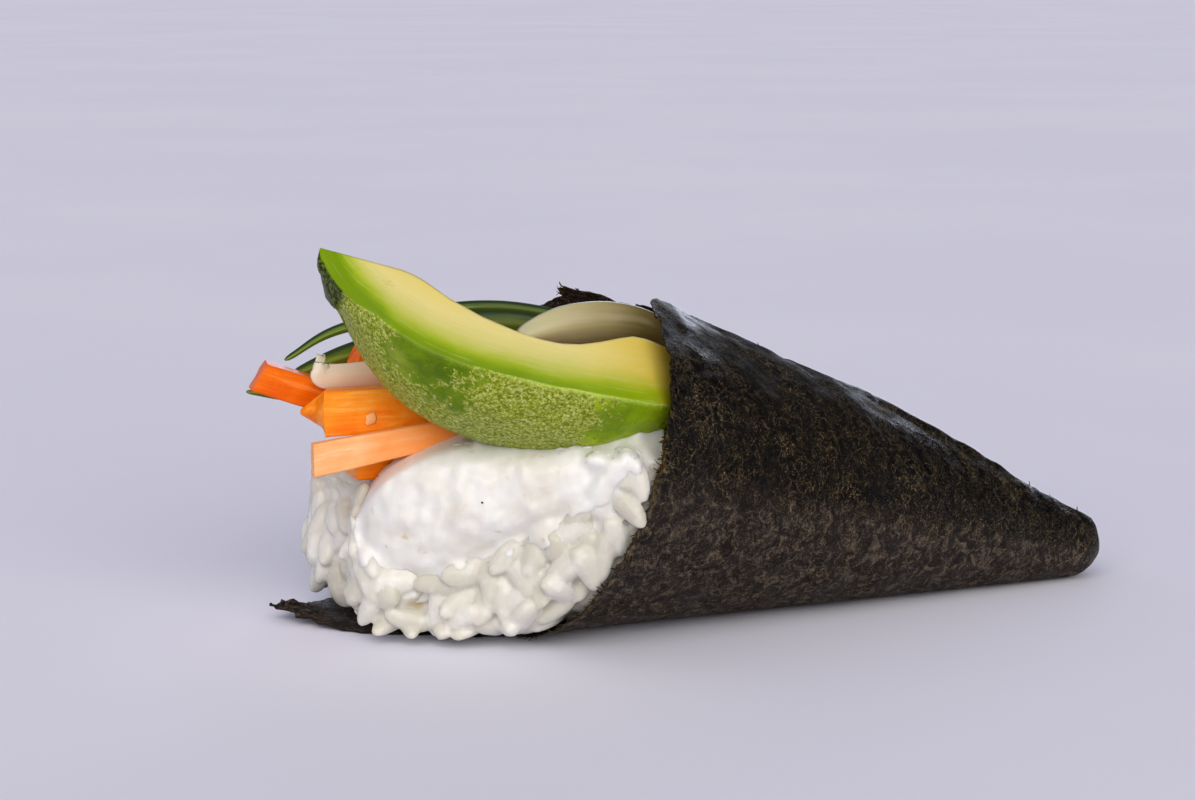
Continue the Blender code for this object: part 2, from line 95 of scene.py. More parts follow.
def wall(reach):
    """The cone's side at a slant distance: (along the axis, out from it), and its normal in those terms."""
    if reach >= NOSE_START:
        return (
            (reach * math.cos(HALF_ANGLE), reach * math.sin(HALF_ANGLE)),
            (-math.sin(HALF_ANGLE), math.cos(HALF_ANGLE)),
        )
    angle = math.pi / 2 - HALF_ANGLE - (NOSE_START - reach) / NOSE_RADIUS
    normal = (-math.cos(angle), math.sin(angle))
    return (NOSE_CENTRE + NOSE_RADIUS * normal[0], NOSE_RADIUS * normal[1]), normal


def sheet_point(reach, turn, inwards):
    """A point of the rolled sheet, inwards millimetres in from the cone's nominal outer face."""
    (along, out), normal = wall(reach)
    from_dip = abs((turn + 360.0) % 360.0 - DIP_TURN)
    inwards += MOUTH_DIP * smooth_step(62.0, 112.0, reach) * smooth_step(48.0, 14.0, from_dip)
    angle = math.radians(turn)
    radial = math.cos(angle) * UNDER + math.sin(angle) * NEAR
    rolled = (along - inwards * normal[0]) * AXIS + (out - inwards * normal[1]) * radial
    flat_share = smooth_step(*FLAP_FLAT, reach)
    flat_share *= smooth_step(48.0, 8.0, turn) if turn > -20 else smooth_step(-100.0, -50.0, turn)
    if flat_share <= 0.0:
        return rolled
    unrolled = angle * math.sin(HALF_ANGLE)
    curl = FLAP_CURL * smooth_step(143.0, 156.0, reach)
    flat = Vector((-reach * math.cos(unrolled), -reach * math.sin(unrolled), inwards + curl))
    return rolled.lerp(flat, flat_share)


def layer(reach, turn):
    """How far in the spiral has run, from the cone's nominal outer face. The flap lies in one plane."""
    run = -LAYER_PITCH * turn / 360.0
    return run * (1.0 - smooth_step(*FLAP_FLAT, reach)) if abs(turn) < 90.0 else run


HIDDEN_COLUMNS, SHOWN_COLUMNS, SHOWN_FROM = 40, 370, -205.0  # the inner turn is coarser
SHEET_ROWS, NOSE_ROWS = 104, 6
CRINKLE = ((11.0, 0.24), (4.2, 0.34), (1.9, 0.14))  # the sheet's own waves: (size, height)
FRINGE = 0.55  # how far single shreds stand out of the torn rim
DARK_EDGE = (
    (-300, 1.2), (-152, 1.2), (-148, 0), (-140, 0), (-136, 1.2), (-34, 1.2), (-26, 0.2), (0, 1.2),
    (24, 0.6), (34, 0), (96, 0), (116, 0.9), (160, 1.3),
)  # by turn: the torn edge is golden where this is 0, and dark where it is 1 or more
LOOSE_EDGE = 0.75  # how far the free edge lifts, between these slant distances
LOOSE_FROM, LOOSE_TO = 38.0, 84.0
TIP_CURL = 1.5  # how far the dry tip of the flap has curled up
BACK_PATTERN = 40.0  # how far the pattern of its rough back is set from that of its front


def torn(turn):
    """How much further, or less far, the sheet reaches at its rim: shreds and small bites."""
    around = turn * 0.5
    shreds = abs(lumps((around, 3, 0), 1.1, 2.0)) + 0.6 * lumps((around, 7, 0), 0.45, 4.0)
    bites = smooth_step(0.25, 0.6, lumps((around, 5, 0), 2.2, 6.0))
    tuft = 2.3 * math.exp(-(((turn + 144.0) / 2.0) ** 2)) * (1.0 + 0.8 * lumps((around, 9, 0), 0.4, 3.0))
    corner = 1.0 + 2.2 * math.exp(-(((turn + 29.0) / 6.0) ** 2))
    return RIM_RAGGED * lumps((around, 0, 0), 3.1) + FRINGE * corner * shreds - 1.1 * bites + tuft


def sheet_grid():
    """Rows of (reach, turn, how far it is to the nearest edge, and to the free edge) for each column."""
    last_turn = FREE_EDGE[-1][1]
    columns = [FIRST_TURN + (SHOWN_FROM - FIRST_TURN) * k / HIDDEN_COLUMNS for k in range(HIDDEN_COLUMNS)]
    columns += [SHOWN_FROM + (last_turn - SHOWN_FROM) * k / SHOWN_COLUMNS for k in range(SHOWN_COLUMNS + 1)]
    grid = []
    for rim_turn in columns:
        share = (rim_turn - FIRST_TURN) / (last_turn - FIRST_TURN)
        rim = read_off(RIM, rim_turn) + torn(rim_turn)
        reaches = [NOSE_END + (NOSE_START - NOSE_END) * k / NOSE_ROWS for k in range(NOSE_ROWS)]
        steps = [1.0 - (1.0 - k / SHEET_ROWS) ** 1.35 for k in range(SHEET_ROWS + 1)]
        reaches += [NOSE_START + (rim - NOSE_START) * step for step in steps]
        column = []
        for reach in reaches:
            stop = read_off(FREE_EDGE, reach) + 2.0 * lumps((reach, 11, 0), 1.3)
            turn = FIRST_TURN + share * (stop - FIRST_TURN)
            around = math.radians(min(turn - FIRST_TURN, stop - turn)) * reach * math.sin(HALF_ANGLE)
            column.append((reach, turn, min(rim - reach, around), stop - turn))
        grid.append(column)
    return grid


def sheet_face(grid, inwards):
    points = []
    for column in grid:
        for reach, turn, _, to_stop in column:
            depth = layer(reach, turn) + inwards
            spot = sheet_point(reach, turn, depth)
            wave = sum(height * lumps(spot, size, 3.0 * size) for size, height in CRINKLE)
            wave *= smooth_step(0.0, 4.0, spot.z)
            lift = LOOSE_EDGE * smooth_step(9.0, 0.0, to_stop) * smooth_step(LOOSE_FROM, 52.0, reach)
            lift *= smooth_step(LOOSE_TO, 72.0, reach)
            spot = spot + (spot - sheet_point(reach, turn, depth + 1.0)) * (wave + lift)
            if abs(turn) < 90.0:
                spot.z += TIP_CURL * smooth_step(146.0, 155.0, reach) * (1.0 + lumps(spot, 1.7, 2.0))
            points.append(spot)
    return points


def sheet_mesh():
    """The closed sheet's points and faces, and its places laid flat and rolled up."""
    grid = sheet_grid()
    rows = len(grid[0])
    points = sheet_face(grid, SHEET_OUTSIDE) + sheet_face(grid, SHEET_INSIDE)
    shift = len(grid) * rows
    faces = []
    for i in range(len(grid) - 1):
        a, b = i * rows, (i + 1) * rows
        for j in range(rows - 1):
            faces.append((a + j, b + j, b + j + 1, a + j + 1))
            faces.append((a + j + shift, a + j + 1 + shift, b + j + 1 + shift, b + j + shift))
        for j in (0, rows - 1):
            faces.append((a + j, a + j + shift, b + j + shift, b + j))
    for a in (0, (len(grid) - 1) * rows):
        for j in range(a, a + rows - 1):
            faces.append((j, j + 1, j + 1 + shift, j + shift))
    flat, rolled = [], []
    for side in (0.0, BACK_PATTERN):
        for column in grid:
            for reach, turn, edge, _ in column:
                unrolled = math.radians(turn) * math.sin(HALF_ANGLE)
                darker = read_off(DARK_EDGE, turn)
                flat.append((reach * math.sin(unrolled) + side, reach * math.cos(unrolled), edge + darker))
                rolled.append((turn, reach, side))
    return points, faces, flat, rolled


def linear(hex_colour):
    """An sRGB hex colour as linear values with alpha."""
    channels = [int(hex_colour[i : i + 2], 16) / 255 for i in (1, 3, 5)]
    return (*[c / 12.92 if c <= 0.04045 else ((c + 0.055) / 1.055) ** 2.4 for c in channels], 1.0)


def set_up(tree, node, given):
    """Set a node's properties and sockets, and link the sockets that are given another node's output."""
    for name, value in given.items():
        if name == "ramp":
            stops = node.color_ramp.elements
            stops[0].position, stops[1].position = value[0][0], value[-1][0]
            stops[0].color, stops[1].color = linear(value[0][1]), linear(value[-1][1])
            for place, colour in value[1:-1]:
                stops.new(place).color = linear(colour)
        elif isinstance(value, bpy.types.NodeSocket):
            tree.links.new(value, node.inputs[name])
        elif isinstance(name, int) or name in node.inputs:
            node.inputs[name].default_value = linear(value) if isinstance(value, str) else value
        else:
            setattr(node, name, value)


def add_node(tree, kind, given):
    """The outputs of a new node of that kind, with its settings and links."""
    node = tree.nodes.new("ShaderNode" + kind)
    set_up(tree, node, given)
    return node.outputs


def new_material(name):
    """A new material: its node tree and its shader."""
    made = bpy.data.materials.new(name)
    made.use_nodes = True
    return made, made.node_tree, made.node_tree.nodes["Principled BSDF"]


def make_piece(name, points, faces, look, nodes, attributes=None):
    """A mesh of the roll in its place, with vertex attributes, standing for CAD nodes."""
    mesh = bpy.data.meshes.new(name)
    placed = (np.array([tuple(p) for p in points]) + np.array(CONE_POINT)) * MM
    mesh.from_pydata(placed.tolist(), [], faces)
    for key, values in (attributes or {}).items():
        values = np.array(values, np.float32)
        vector = values.ndim == 2
        layer_made = mesh.attributes.new(key, "FLOAT_VECTOR" if vector else "FLOAT", "POINT")
        layer_made.data.foreach_set("vector" if vector else "value", values.ravel())
    work = bmesh.new()
    work.from_mesh(mesh)
    bmesh.ops.recalc_face_normals(work, faces=work.faces)
    bmesh.ops.triangulate(work, faces=[f for f in work.faces if len(f.verts) > 4])
    work.to_mesh(mesh)
    work.free()
    mesh.shade_smooth()
    mesh.materials.append(look)
    made = bpy.data.objects.new(name, mesh)
    bpy.context.scene.collection.objects.link(made)
    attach(made, "root")
    if nodes:
        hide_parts(*nodes)
    return made


# Toasted nori: a black-brown felt of shreds about half a millimetre wide that lie all ways, olive and tan
# where they are thin, with the dry glaze of a leaf. Its patterns are laid on the flat sheet, so their scales
# are per millimetre.
nori, tree, shader = new_material("toasted_nori")
pattern = add_node(tree, "Attribute", {"attribute_name": "sheet"})["Vector"]
split = add_node(tree, "SeparateXYZ", {0: pattern})
to_edge = split["Z"]
rolled = add_node(tree, "Attribute", {"attribute_name": "rolled"})["Vector"]
split_rolled = add_node(tree, "SeparateXYZ", {0: rolled})
flat = add_node(tree, "CombineXYZ", {"X": split["X"], "Y": split["Y"]})[0]
felt = add_node(
    tree, "TexNoise", {0: flat, "Scale": 0.6, "Detail": 5.0, "Roughness": 0.65, "Distortion": 1.2}
)["Fac"]
SHRED_LAYERS = (
    (-24.0, 0.5, 5.0, 0.57), (38.0, 0.6, 4.5, 0.57), (-68.0, 0.5, 5.0, 0.57), (80.0, 0.55, 4.5, 0.58),
    (8.0, 0.45, 6.0, 0.58),
)  # the way that shreds lie, their width, how many times longer they are, and how few of them there are
SHRED_SOFTNESS = 0.14
PULLED_LENGTH = 120.0  # the slack stretches of the sheet are shares of this reach


def shreds(turned, width, stretch, cut):
    """1 on shreds that lie that way across the sheet, of that width in mm, and 0 between them."""
    laid = add_node(
        tree, "Mapping",
        {"vector_type": "TEXTURE", 0: flat, "Location": (7.0 * width, turned, 0.0),
         "Rotation": (0.0, 0.0, math.radians(turned)), "Scale": (width, width * stretch, 1.0)},
    )[0]
    drawn = add_node(
        tree, "TexNoise", {0: laid, "Scale": 1.0, "Detail": 1.0, "Roughness": 0.5, "Distortion": 0.1}
    )["Fac"]
    return add_node(tree, "MapRange", {0: drawn, "From Min": cut, "From Max": cut + SHRED_SOFTNESS})[0]


shred = shreds(*SHRED_LAYERS[0])
for shred_layer in SHRED_LAYERS[1:]:
    shred = add_node(tree, "Math", {"operation": "MAXIMUM", 0: shred, 1: shreds(*shred_layer)})[0]
specks = add_node(tree, "TexNoise", {0: flat, "Scale": 3.4, "Detail": 3.0, "Roughness": 0.65})["Fac"]
patches = add_node(tree, "TexNoise", {0: flat, "Scale": 0.13, "Detail": 4.0, "Roughness": 0.6})["Fac"]
grit = add_node(tree, "Math", {"operation": "MULTIPLY_ADD", 0: specks, 1: 0.5, 2: felt})[0]
ground = add_node(
    tree, "ValToRGB",
    {0: grit, "ramp": ((0.66, "#010100"), (0.77, "#080503"), (0.86, "#231a10"), (0.96, "#57472e"))},
)["Color"]
hue = add_node(tree, "Math", {"operation": "MULTIPLY_ADD", 0: patches, 1: 0.5, 2: specks})[0]
shred_colour = add_node(
    tree, "ValToRGB",
    {0: hue, "ramp": ((0.55, "#0c0805"), (0.7, "#1e170f"), (0.8, "#3c3120"), (0.94, "#8a7d5c"))},
)["Color"]
covered = add_node(
    tree, "MapRange", {0: felt, "From Min": 0.36, "From Max": 0.64, "To Min": 0.45, "To Max": 1.0}
)[0]
shred_share = add_node(tree, "Math", {"operation": "MULTIPLY", 0: shred, 1: covered})[0]
felted = add_node(tree, "Mix", {"data_type": "RGBA", 0: shred_share, 6: ground, 7: shred_colour})[2]
# Thin spots: ochre where the sheet is a single shred thick, here and there, at its point and its torn rim
thin_spot = add_node(tree, "TexNoise", {0: flat, "Scale": 0.5, "Detail": 4.0, "Roughness": 0.7})["Fac"]
near_point = add_node(
    tree, "MapRange", {0: split["Y"], "From Min": 2.0, "From Max": 13.0, "To Min": 0.13, "To Max": 0.0}
)[0]
thin_place = add_node(tree, "Math", {"operation": "ADD", 0: thin_spot, 1: near_point})[0]
thin_share = add_node(
    tree, "MapRange", {0: thin_place, "From Min": 0.69, "From Max": 0.77, "To Min": 0.0, "To Max": 0.85}
)[0]
spotted = add_node(tree, "Mix", {"data_type": "RGBA", 0: thin_share, 6: felted, 7: "#6f5726"})[2]
ragged_edge = add_node(tree, "Math", {"operation": "MULTIPLY_ADD", 0: felt, 1: -4.5, 2: 2.5})[0]
edge_place = add_node(tree, "Math", {"operation": "ADD", 0: to_edge, 1: ragged_edge})[0]
edge_share = add_node(
    tree, "MapRange", {0: edge_place, "From Min": 0.15, "From Max": 1.0, "To Min": 0.6, "To Max": 0.0}
)[0]
coloured = add_node(tree, "Mix", {"data_type": "RGBA", 0: edge_share, 6: spotted, 7: "#6d5518"})[2]
# Painted reflection: the low side of the sheet is lighter, a greyish brown, where it mirrors the pale table
painted_table_reflection = add_node(
    tree, "ValToRGB", {0: grit, "ramp": ((0.66, "#241d1c"), (0.77, "#40372f"), (0.9, "#77695a"))}
)["Color"]
table_reflection_share = add_node(
    tree, "MapRange",
    {0: split_rolled["X"], "From Min": 82.0, "From Max": 97.0, "To Min": 0.6, "To Max": 0.0},
)[0]
coloured = add_node(tree, "Mix", {"data_type": "RGBA", 0: table_reflection_share, 6: coloured, 7: painted_table_reflection})[2]
height = add_node(tree, "Math", {"operation": "MULTIPLY_ADD", 0: shred, 1: 0.8, 2: specks})[0]
height = add_node(tree, "Math", {"operation": "MULTIPLY_ADD", 0: felt, 1: 1.6, 2: height})[0]
height = add_node(tree, "Math", {"operation": "MULTIPLY_ADD", 0: patches, 1: 8.0, 2: height})[0]
bumpy = add_node(tree, "Bump", {"Height": height, "Strength": 1.0, "Distance": 0.0002})["Normal"]
gloss = add_node(
    tree, "MapRange", {0: patches, "From Min": 0.42, "From Max": 0.6, "To Min": 0.14, "To Max": 0.5}
)[0]
# Slack and rough in a band round its wide half and along its low side, and smooth where it was pulled tight
reach = add_node(tree, "Math", {"operation": "DIVIDE", 0: split_rolled["Y"], 1: PULLED_LENGTH})[0]
slack = add_node(
    tree, "ValToRGB",
    {0: reach, "ramp": ((0.59, "#000000"), (0.65, "#ffffff"), (0.83, "#ffffff"), (0.9, "#000000"))},
)["Color"]
below = add_node(
    tree, "MapRange",
    {0: split_rolled["X"], "From Min": 60.0, "From Max": 100.0, "To Min": 1.0, "To Max": 0.0},
)[0]
slack = add_node(tree, "Math", {"operation": "MAXIMUM", 0: slack, 1: below})[0]
gloss = add_node(tree, "Math", {"operation": "MULTIPLY_ADD", 0: slack, 1: 0.4, 2: gloss})[0]
set_up(
    tree, shader,
    {"Base Color": coloured, "Roughness": gloss, "Normal": bumpy, "IOR": 1.5, "Specular IOR Level": 0.12},
)

points, faces, flat_pattern, rolled = sheet_mesh()
make_piece(
    "nori_sheet", points, faces, nori, ["nori_wrap"], {"sheet": flat_pattern, "rolled": rolled}
)

# Shreds that have come half loose along the torn rim and the free edge, and a tuft of them at the far rim
LOOSE_SHREDS = (
    ("rim", 150, (12.0, 112.0), 0.3, 1.5),
    ("rim", 9, (-146.5, -141.5), 0.4, 1.6),
    ("edge", 24, (20.0, 108.0), 0.5, 1.3),
)  # where they are, how many, between which turns or reaches, how far in they start, and the longest of them
SHRED_STATIONS = 6
SHRED_SHORTEST, SHRED_HALF_THICK = 0.5, 0.06
LOWEST_SHRED = 0.05
shred_draw = np.random.default_rng(5)


def ring_faces(start, rings, sides):
    """The faces of a closed body of that many rings of points, of which the first has that number."""
    faces = []
    for i in range(rings - 1):
        for k in range(sides):
            n = (k + 1) % sides
            low, high = start + i * sides, start + (i + 1) * sides
            faces.append((low + k, low + n, high + n, high + k))
    faces.append(tuple(start + k for k in reversed(range(sides))))
    faces.append(tuple(start + (rings - 1) * sides + k for k in range(sides)))
    return faces


def loose_shred(start, along, out, long, wide, curl):
    """A tapering, bent strip: its points and faces."""
    side = along.cross(out).normalized()
    points = []
    for i in range(SHRED_STATIONS + 1):
        share = i / SHRED_STATIONS
        middle = start + along * (long * share) + out * (curl * long * share * share)
        middle += side * (0.25 * curl * long * math.sin(4.0 * share))
        half = wide * (1.0 - 0.75 * share * share) / 2
        thick = out * SHRED_HALF_THICK
        points += [middle + side * half, middle + thick, middle - side * half, middle - thick]
    return points, ring_faces(0, SHRED_STATIONS + 1, 4)


def shred_from_edge(reach, turn, way, longest):
    """A shred that starts just inside the sheet at that place and leans out of it along way."""
    depth = layer(reach, turn) + 0.2
    start = sheet_point(reach, turn, depth)
    out = (start - sheet_point(reach, turn, depth + 1.0)).normalized()
    away = (way - way.dot(out) * out).normalized()
    swing, lean = shred_draw.normal(0.0, 0.6), shred_draw.normal(0.1, 0.3)
    along = (away * math.cos(swing) + out.cross(away) * math.sin(swing) + out * lean).normalized()
    out = (out - out.dot(along) * along).normalized()
    long = SHRED_SHORTEST + (longest - SHRED_SHORTEST) * shred_draw.random() ** 2
    wide = longest * (0.14 + 0.16 * shred_draw.random())
    return loose_shred(start, along, out, long, wide, shred_draw.normal(0.0, 0.25))


shred_points, shred_faces, shred_pattern = [], [], []
for kind, count, (low, high), inset, longest in LOOSE_SHREDS:
    for _ in range(count):
        at = low + (high - low) * shred_draw.random()
        if kind == "rim":
            reach, turn, ahead = read_off(RIM, at) + torn(at) - inset, at, (1.0, 0.0)
        else:
            reach, turn, ahead = at, read_off(FREE_EDGE, at) - inset, (0.0, 1.0)
        here = sheet_point(reach, turn, 0.0)
        way = sheet_point(reach + ahead[0], turn + ahead[1], 0.0) - here
        made, made_faces = shred_from_edge(reach, turn, way, longest)
        if min(p.z for p in made) < LOWEST_SHRED:
            continue
        shred_faces += [tuple(len(shred_points) + k for k in face) for face in made_faces]
        shred_points += made
        shred_pattern += [(turn, reach, 0.45)] * len(made)
make_piece(
    "nori_loose_shreds", shred_points, shred_faces, nori, [],
    {"sheet": shred_pattern, "rolled": shred_pattern},
)

# ---------------------------------------------------------------- rice
# Steamed short-grain rice, pressed in by hand. A grain is 7 to 8 mm long and 3 mm thick, plump, a little
# bent, and notched where its germ was. Its glossy starch sticks it to the others, so the grains that show
# are laid over the bed of rice, and all of it is fused into one soft skin.

GRAIN_LONG, GRAIN_WIDE, GRAIN_THICK = 7.6, 3.9, 3.0
GRAIN_RINGS, GRAIN_SIDES = 9, 10
GRAIN_SPACING = 2.95
GRAIN_DEPTH = 0.9  # how deep the middle of a grain lies under the bed's nominal surface
WIDTH_SHARES, THICKNESS_SHARES = (0.82, 1.18), (0.92, 1.08)  # of the width and thickness above
STEEP_SHARE = 0.22  # of the grains stand out of the heap, the others lie flat on it
HANG_SHARE, HANG_BELOW = 0.65, 17.0  # of the grains below that height point down
STEEP_LEAN, FLAT_LEAN, HANGING_LEAN = (28, 62), (-18, 18), (4, 26)  # degrees out of the heap
CORE_DEPTH, CORE_UNDER_NORI, CORE_FROM_FAR_WALL = 1.15, 0.75, 2.2
VOID_DEPTH = 1.3  # how much deeper the gaps are that the grains bridge
FUSE_STEP, FUSE_PASSES = 0.32, 1
FUSED_SHARE = 0.38  # of the fused skin's triangles are kept, fewest where it is flat or hidden
# The amber of the gaps is painted shade
GAP_FROM, GAP_TO = 1.5, 2.6  # depths at which a gap starts to look amber, and does so fully
RICE_TO, RICE_UNDER_NORI_TO = -84.0, -88.0  # how far along into the roll the grains go
FAR_SIDE, FAR_WALL_TO = 8.0, -101.0  # past this to the far side, and up to here, the far wall stands free
GRAINS_FROM_WALL, CORE_FROM_WALL = 4.5, 1.6
NORI_LOOK_OUT, NORI_LOOK_BACK = 2.8, 3.3  # nori is looked for from that far out, that far back in
LOWEST_TIP, LOWEST_GRAIN = 1.9, 0.3  # above the table
CLEARANCE = 0.35  # between a grain and what else is in the roll
PLACE_TRIES, LAY_TRIES = 30000, 9


def node_tree_of(names):
    """A search tree over CAD nodes, in millimetres from the cone's point."""
    points, faces = [], []
    for name in names:
        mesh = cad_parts[name].data
        start = len(points)
        points += [v.co / MM - CONE_POINT for v in mesh.vertices]
        faces += [tuple(start + i for i in p.vertices) for p in mesh.polygons]
    return BVHTree.FromPolygons(points, faces)


def node_surface(name):
    """The corners of a CAD node's triangles, in millimetres from the cone's point."""
    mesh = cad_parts[name].data
    mesh.calc_loop_triangles()
    spots = np.array([tuple(v.co / MM - CONE_POINT) for v in mesh.vertices])
    corners = np.array([t.vertices[:] for t in mesh.loop_triangles])
    return spots[corners]


fillings = [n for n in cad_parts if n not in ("nori_wrap", "rice_bed")]
around_rice = node_tree_of(["nori_wrap", *fillings])
around_roll = node_tree_of(["nori_wrap"])
rng = np.random.default_rng(11)

# Where cream cheese is spread over the grains: seen square to the side it was pressed on from, it reaches
# down to these heights, at these distances along
SPREAD_WAY = Vector((0.36, 0.92, -0.15)).normalized()
SPREAD_RIGHT = SPREAD_WAY.cross(Vector((0, 0, 1))).normalized()
SPREAD_UP = SPREAD_RIGHT.cross(SPREAD_WAY)
SPREAD_LOW = (
    (-138, 9), (-136, 3.6), (-132, 2.2), (-124, 2.4), (-118, 3.4), (-112, 5.2), (-106, 7.8),
    (-100, 11.6), (-95, 15.6), (-91, 19.0),
)


def over_spread_edge(spot):
    """How far a place lies above the lower edge of the spread cheese, which wanders."""
    along, high = spot.dot(SPREAD_RIGHT), spot.dot(SPREAD_UP)
    wander = 3.0 * lumps((along, high, 0), 4.6, 3.0) + 1.6 * lumps((along, high, 4), 2.0, 1.0)
    return high - read_off(SPREAD_LOW, along) + wander


def by_far_wall(spot, near):
    """Whether a place is that near to the far wall of the roll, where the heap presses against it."""
    return spot.y > FAR_SIDE and spot.x > FAR_WALL_TO and around_roll.find_nearest(spot)[3] < near


def spread_over(triangles, spacing, tries):
    """(place, normal, whether nori is over it) of points spread evenly over the triangles that show."""
    a, b, c = triangles[:, 0], triangles[:, 1], triangles[:, 2]
    across = np.cross(b - a, c - a)
    area = np.linalg.norm(across, axis=1) / 2
    picks = rng.choice(len(area), tries, p=area / area.sum())
    u, v = rng.random(tries), rng.random(tries)
    flip = u + v > 1
    u[flip], v[flip] = 1 - u[flip], 1 - v[flip]
    spots = a[picks] + (b - a)[picks] * u[:, None] + (c - a)[picks] * v[:, None]
    normals = across[picks] / (2 * area[picks])[:, None]
    cells, kept = {}, []
    for spot, normal in zip(spots, normals):
        cell = tuple(int(x // spacing) for x in spot)
        near = [
            other
            for dx in (-1, 0, 1) for dy in (-1, 0, 1) for dz in (-1, 0, 1)
            for other in cells.get((cell[0] + dx, cell[1] + dy, cell[2] + dz), ())
        ]
        if any(np.sum((spot - other) ** 2) < spacing**2 for other in near):
            continue
        place, out = Vector(spot), Vector(normal)
        if place.x > RICE_TO or around_rice.ray_cast(place - out * 0.05, out, 1.1)[0] is not None:
            continue
        under_nori = around_roll.ray_cast(place + out * NORI_LOOK_OUT, -out, NORI_LOOK_BACK)[0] is not None
        if under_nori and (place.x > RICE_UNDER_NORI_TO or place.y > FAR_SIDE):
            continue
        if by_far_wall(place, GRAINS_FROM_WALL):
            continue
        cells.setdefault(cell, []).append(spot)
        kept.append((place, out, under_nori))
    return kept


def grain_shape(long, wide, thick, bend, uneven, seed):
    """Points of a grain round its own middle, along x, with the place of each along it from -1 to 1."""
    rings = []
    for i in range(GRAIN_RINGS + 1):
        angle = math.pi * (0.06 + 0.9 * i / GRAIN_RINGS)
        place = -math.cos(angle)
        girth = math.sin(angle) ** 0.76 * (1.0 - 0.13 * place)
        notch = 0.25 * math.exp(-((place - 0.86) ** 2) / 0.012)
        ring = []
        for k in range(GRAIN_SIDES):
            turned = 2 * math.pi * k / GRAIN_SIDES
            c, s = math.cos(turned), math.sin(turned)
            y = wide / 2 * girth * c * (1.0 - notch * (c > 0.3))
            z = thick / 2 * girth * s
            swell = 1.0 + uneven * noise.noise(Vector((place * 1.3, c + seed, s)))
            ring.append(Vector((place * long / 2, y * swell + bend * (1 - place * place), z * swell)))
        rings.append(ring)
    return rings


def drawn_from(span):
    """A random value between the two."""
    return span[0] + (span[1] - span[0]) * rng.random()


def lay_grain(place, out, long, lean, hangs):
    """A frame for a grain at a place, turned about the way out and tipped by the lean. None if blocked."""
    side = Vector((0, 0, -1)) - out * -out.z
    side = side.normalized() if side.length > 0.2 else out.orthogonal().normalized()
    for _ in range(LAY_TRIES):
        turned = 0.45 * rng.standard_normal() if hangs else rng.random() * 2 * math.pi
        along = (math.cos(turned) * side + math.sin(turned) * out.cross(side)).normalized()
        along = (along * math.cos(lean) + out * math.sin(lean)).normalized()
        up = (out - out.dot(along) * along).normalized()
        clear = True
        for end in (1.0, -1.0):
            for lift in (0.0, 1.0):
                way = along * end * long * 0.5 + up * lift * GRAIN_THICK * 0.4
                if around_rice.ray_cast(place, way.normalized(), way.length + CLEARANCE)[0] is not None:
                    clear = False
        tip = min((place + along * long * 0.45).z, (place - along * long * 0.45).z)
        if clear and tip > LOWEST_TIP:
            return Matrix((along, up.cross(along), up)).transposed()
    return None


grain_points, grain_faces, grain_tones, grain_shares = [], [], [], []
for place, out, under_nori in spread_over(node_surface("rice_bed"), GRAIN_SPACING, PLACE_TRIES):
    size = min(1.16, max(0.8, 1.0 + 0.1 * rng.standard_normal()))
    long, wide = GRAIN_LONG * size, GRAIN_WIDE * drawn_from(WIDTH_SHARES)
    thick = GRAIN_THICK * drawn_from(THICKNESS_SHARES)
    steep = rng.random() < STEEP_SHARE
    hangs = place.z < HANG_BELOW and rng.random() < HANG_SHARE
    lean = math.radians(drawn_from(STEEP_LEAN if steep else FLAT_LEAN))
    depth = GRAIN_DEPTH + 0.4 * (rng.random() - 0.5) + (0.3 * long * math.sin(lean) if steep else 0.0)
    if hangs:
        lean, depth = math.radians(drawn_from(HANGING_LEAN)), 0.8 * GRAIN_DEPTH
    if under_nori:
        lean, depth = 0.0, GRAIN_DEPTH + 0.3
    middle = place - out * depth
    laid = lay_grain(middle, out, long, lean, hangs)
    bend, tone, seed = 0.5 * rng.random(), rng.random(), rng.random() * 50
    if laid is None or (out.dot(SPREAD_WAY) < -0.2 and over_spread_edge(place) > 4.0):
        continue
    start = len(grain_points)
    for ring in grain_shape(long, wide, thick, bend, 0.17, seed):
        for p in ring:
            spot = middle + laid @ p
            spot.z = max(spot.z, LOWEST_GRAIN)
            grain_points.append(spot)
            grain_shares.append(abs(p.x) / (long / 2))
            grain_tones.append(tone)
    grain_faces += ring_faces(start, GRAIN_RINGS + 1, GRAIN_SIDES)

# The rice under the grains: the same bed, pressed in from its surface, with gaps that the grains bridge
core = bmesh.new()
core.from_mesh(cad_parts["rice_bed"].data)
bmesh.ops.remove_doubles(core, verts=core.verts, dist=0.01 * MM)
for longest in (3.5 * MM, 2.0 * MM):
    bmesh.ops.subdivide_edges(
        core, edges=[e for e in core.edges if e.calc_length() > longest], cuts=1, use_grid_fill=True
    )
    bmesh.ops.triangulate(core, faces=core.faces)
core.normal_update()
core.verts.index_update()
core_points = []
for v in core.verts:
    spot = v.co / MM - CONE_POINT
    near = 1.1 + 2.4 * smooth_step(-94.0, -84.0, spot.x)
    covered = around_rice.ray_cast(spot - v.normal * 0.05, v.normal, near)[0] is not None
    hole = smooth_step(0.22, 0.5, lumps(spot, 3.3, 8.0))
    depth = CORE_UNDER_NORI if covered else CORE_DEPTH + 0.5 * lumps(spot, 1.9, 5.0) + VOID_DEPTH * hole
    if by_far_wall(spot, CORE_FROM_WALL):
        depth = CORE_FROM_FAR_WALL
    core_points.append(spot - v.normal * depth)
core_faces = [tuple(v.index + len(grain_points) for v in face.verts) for face in core.faces]
core.free()

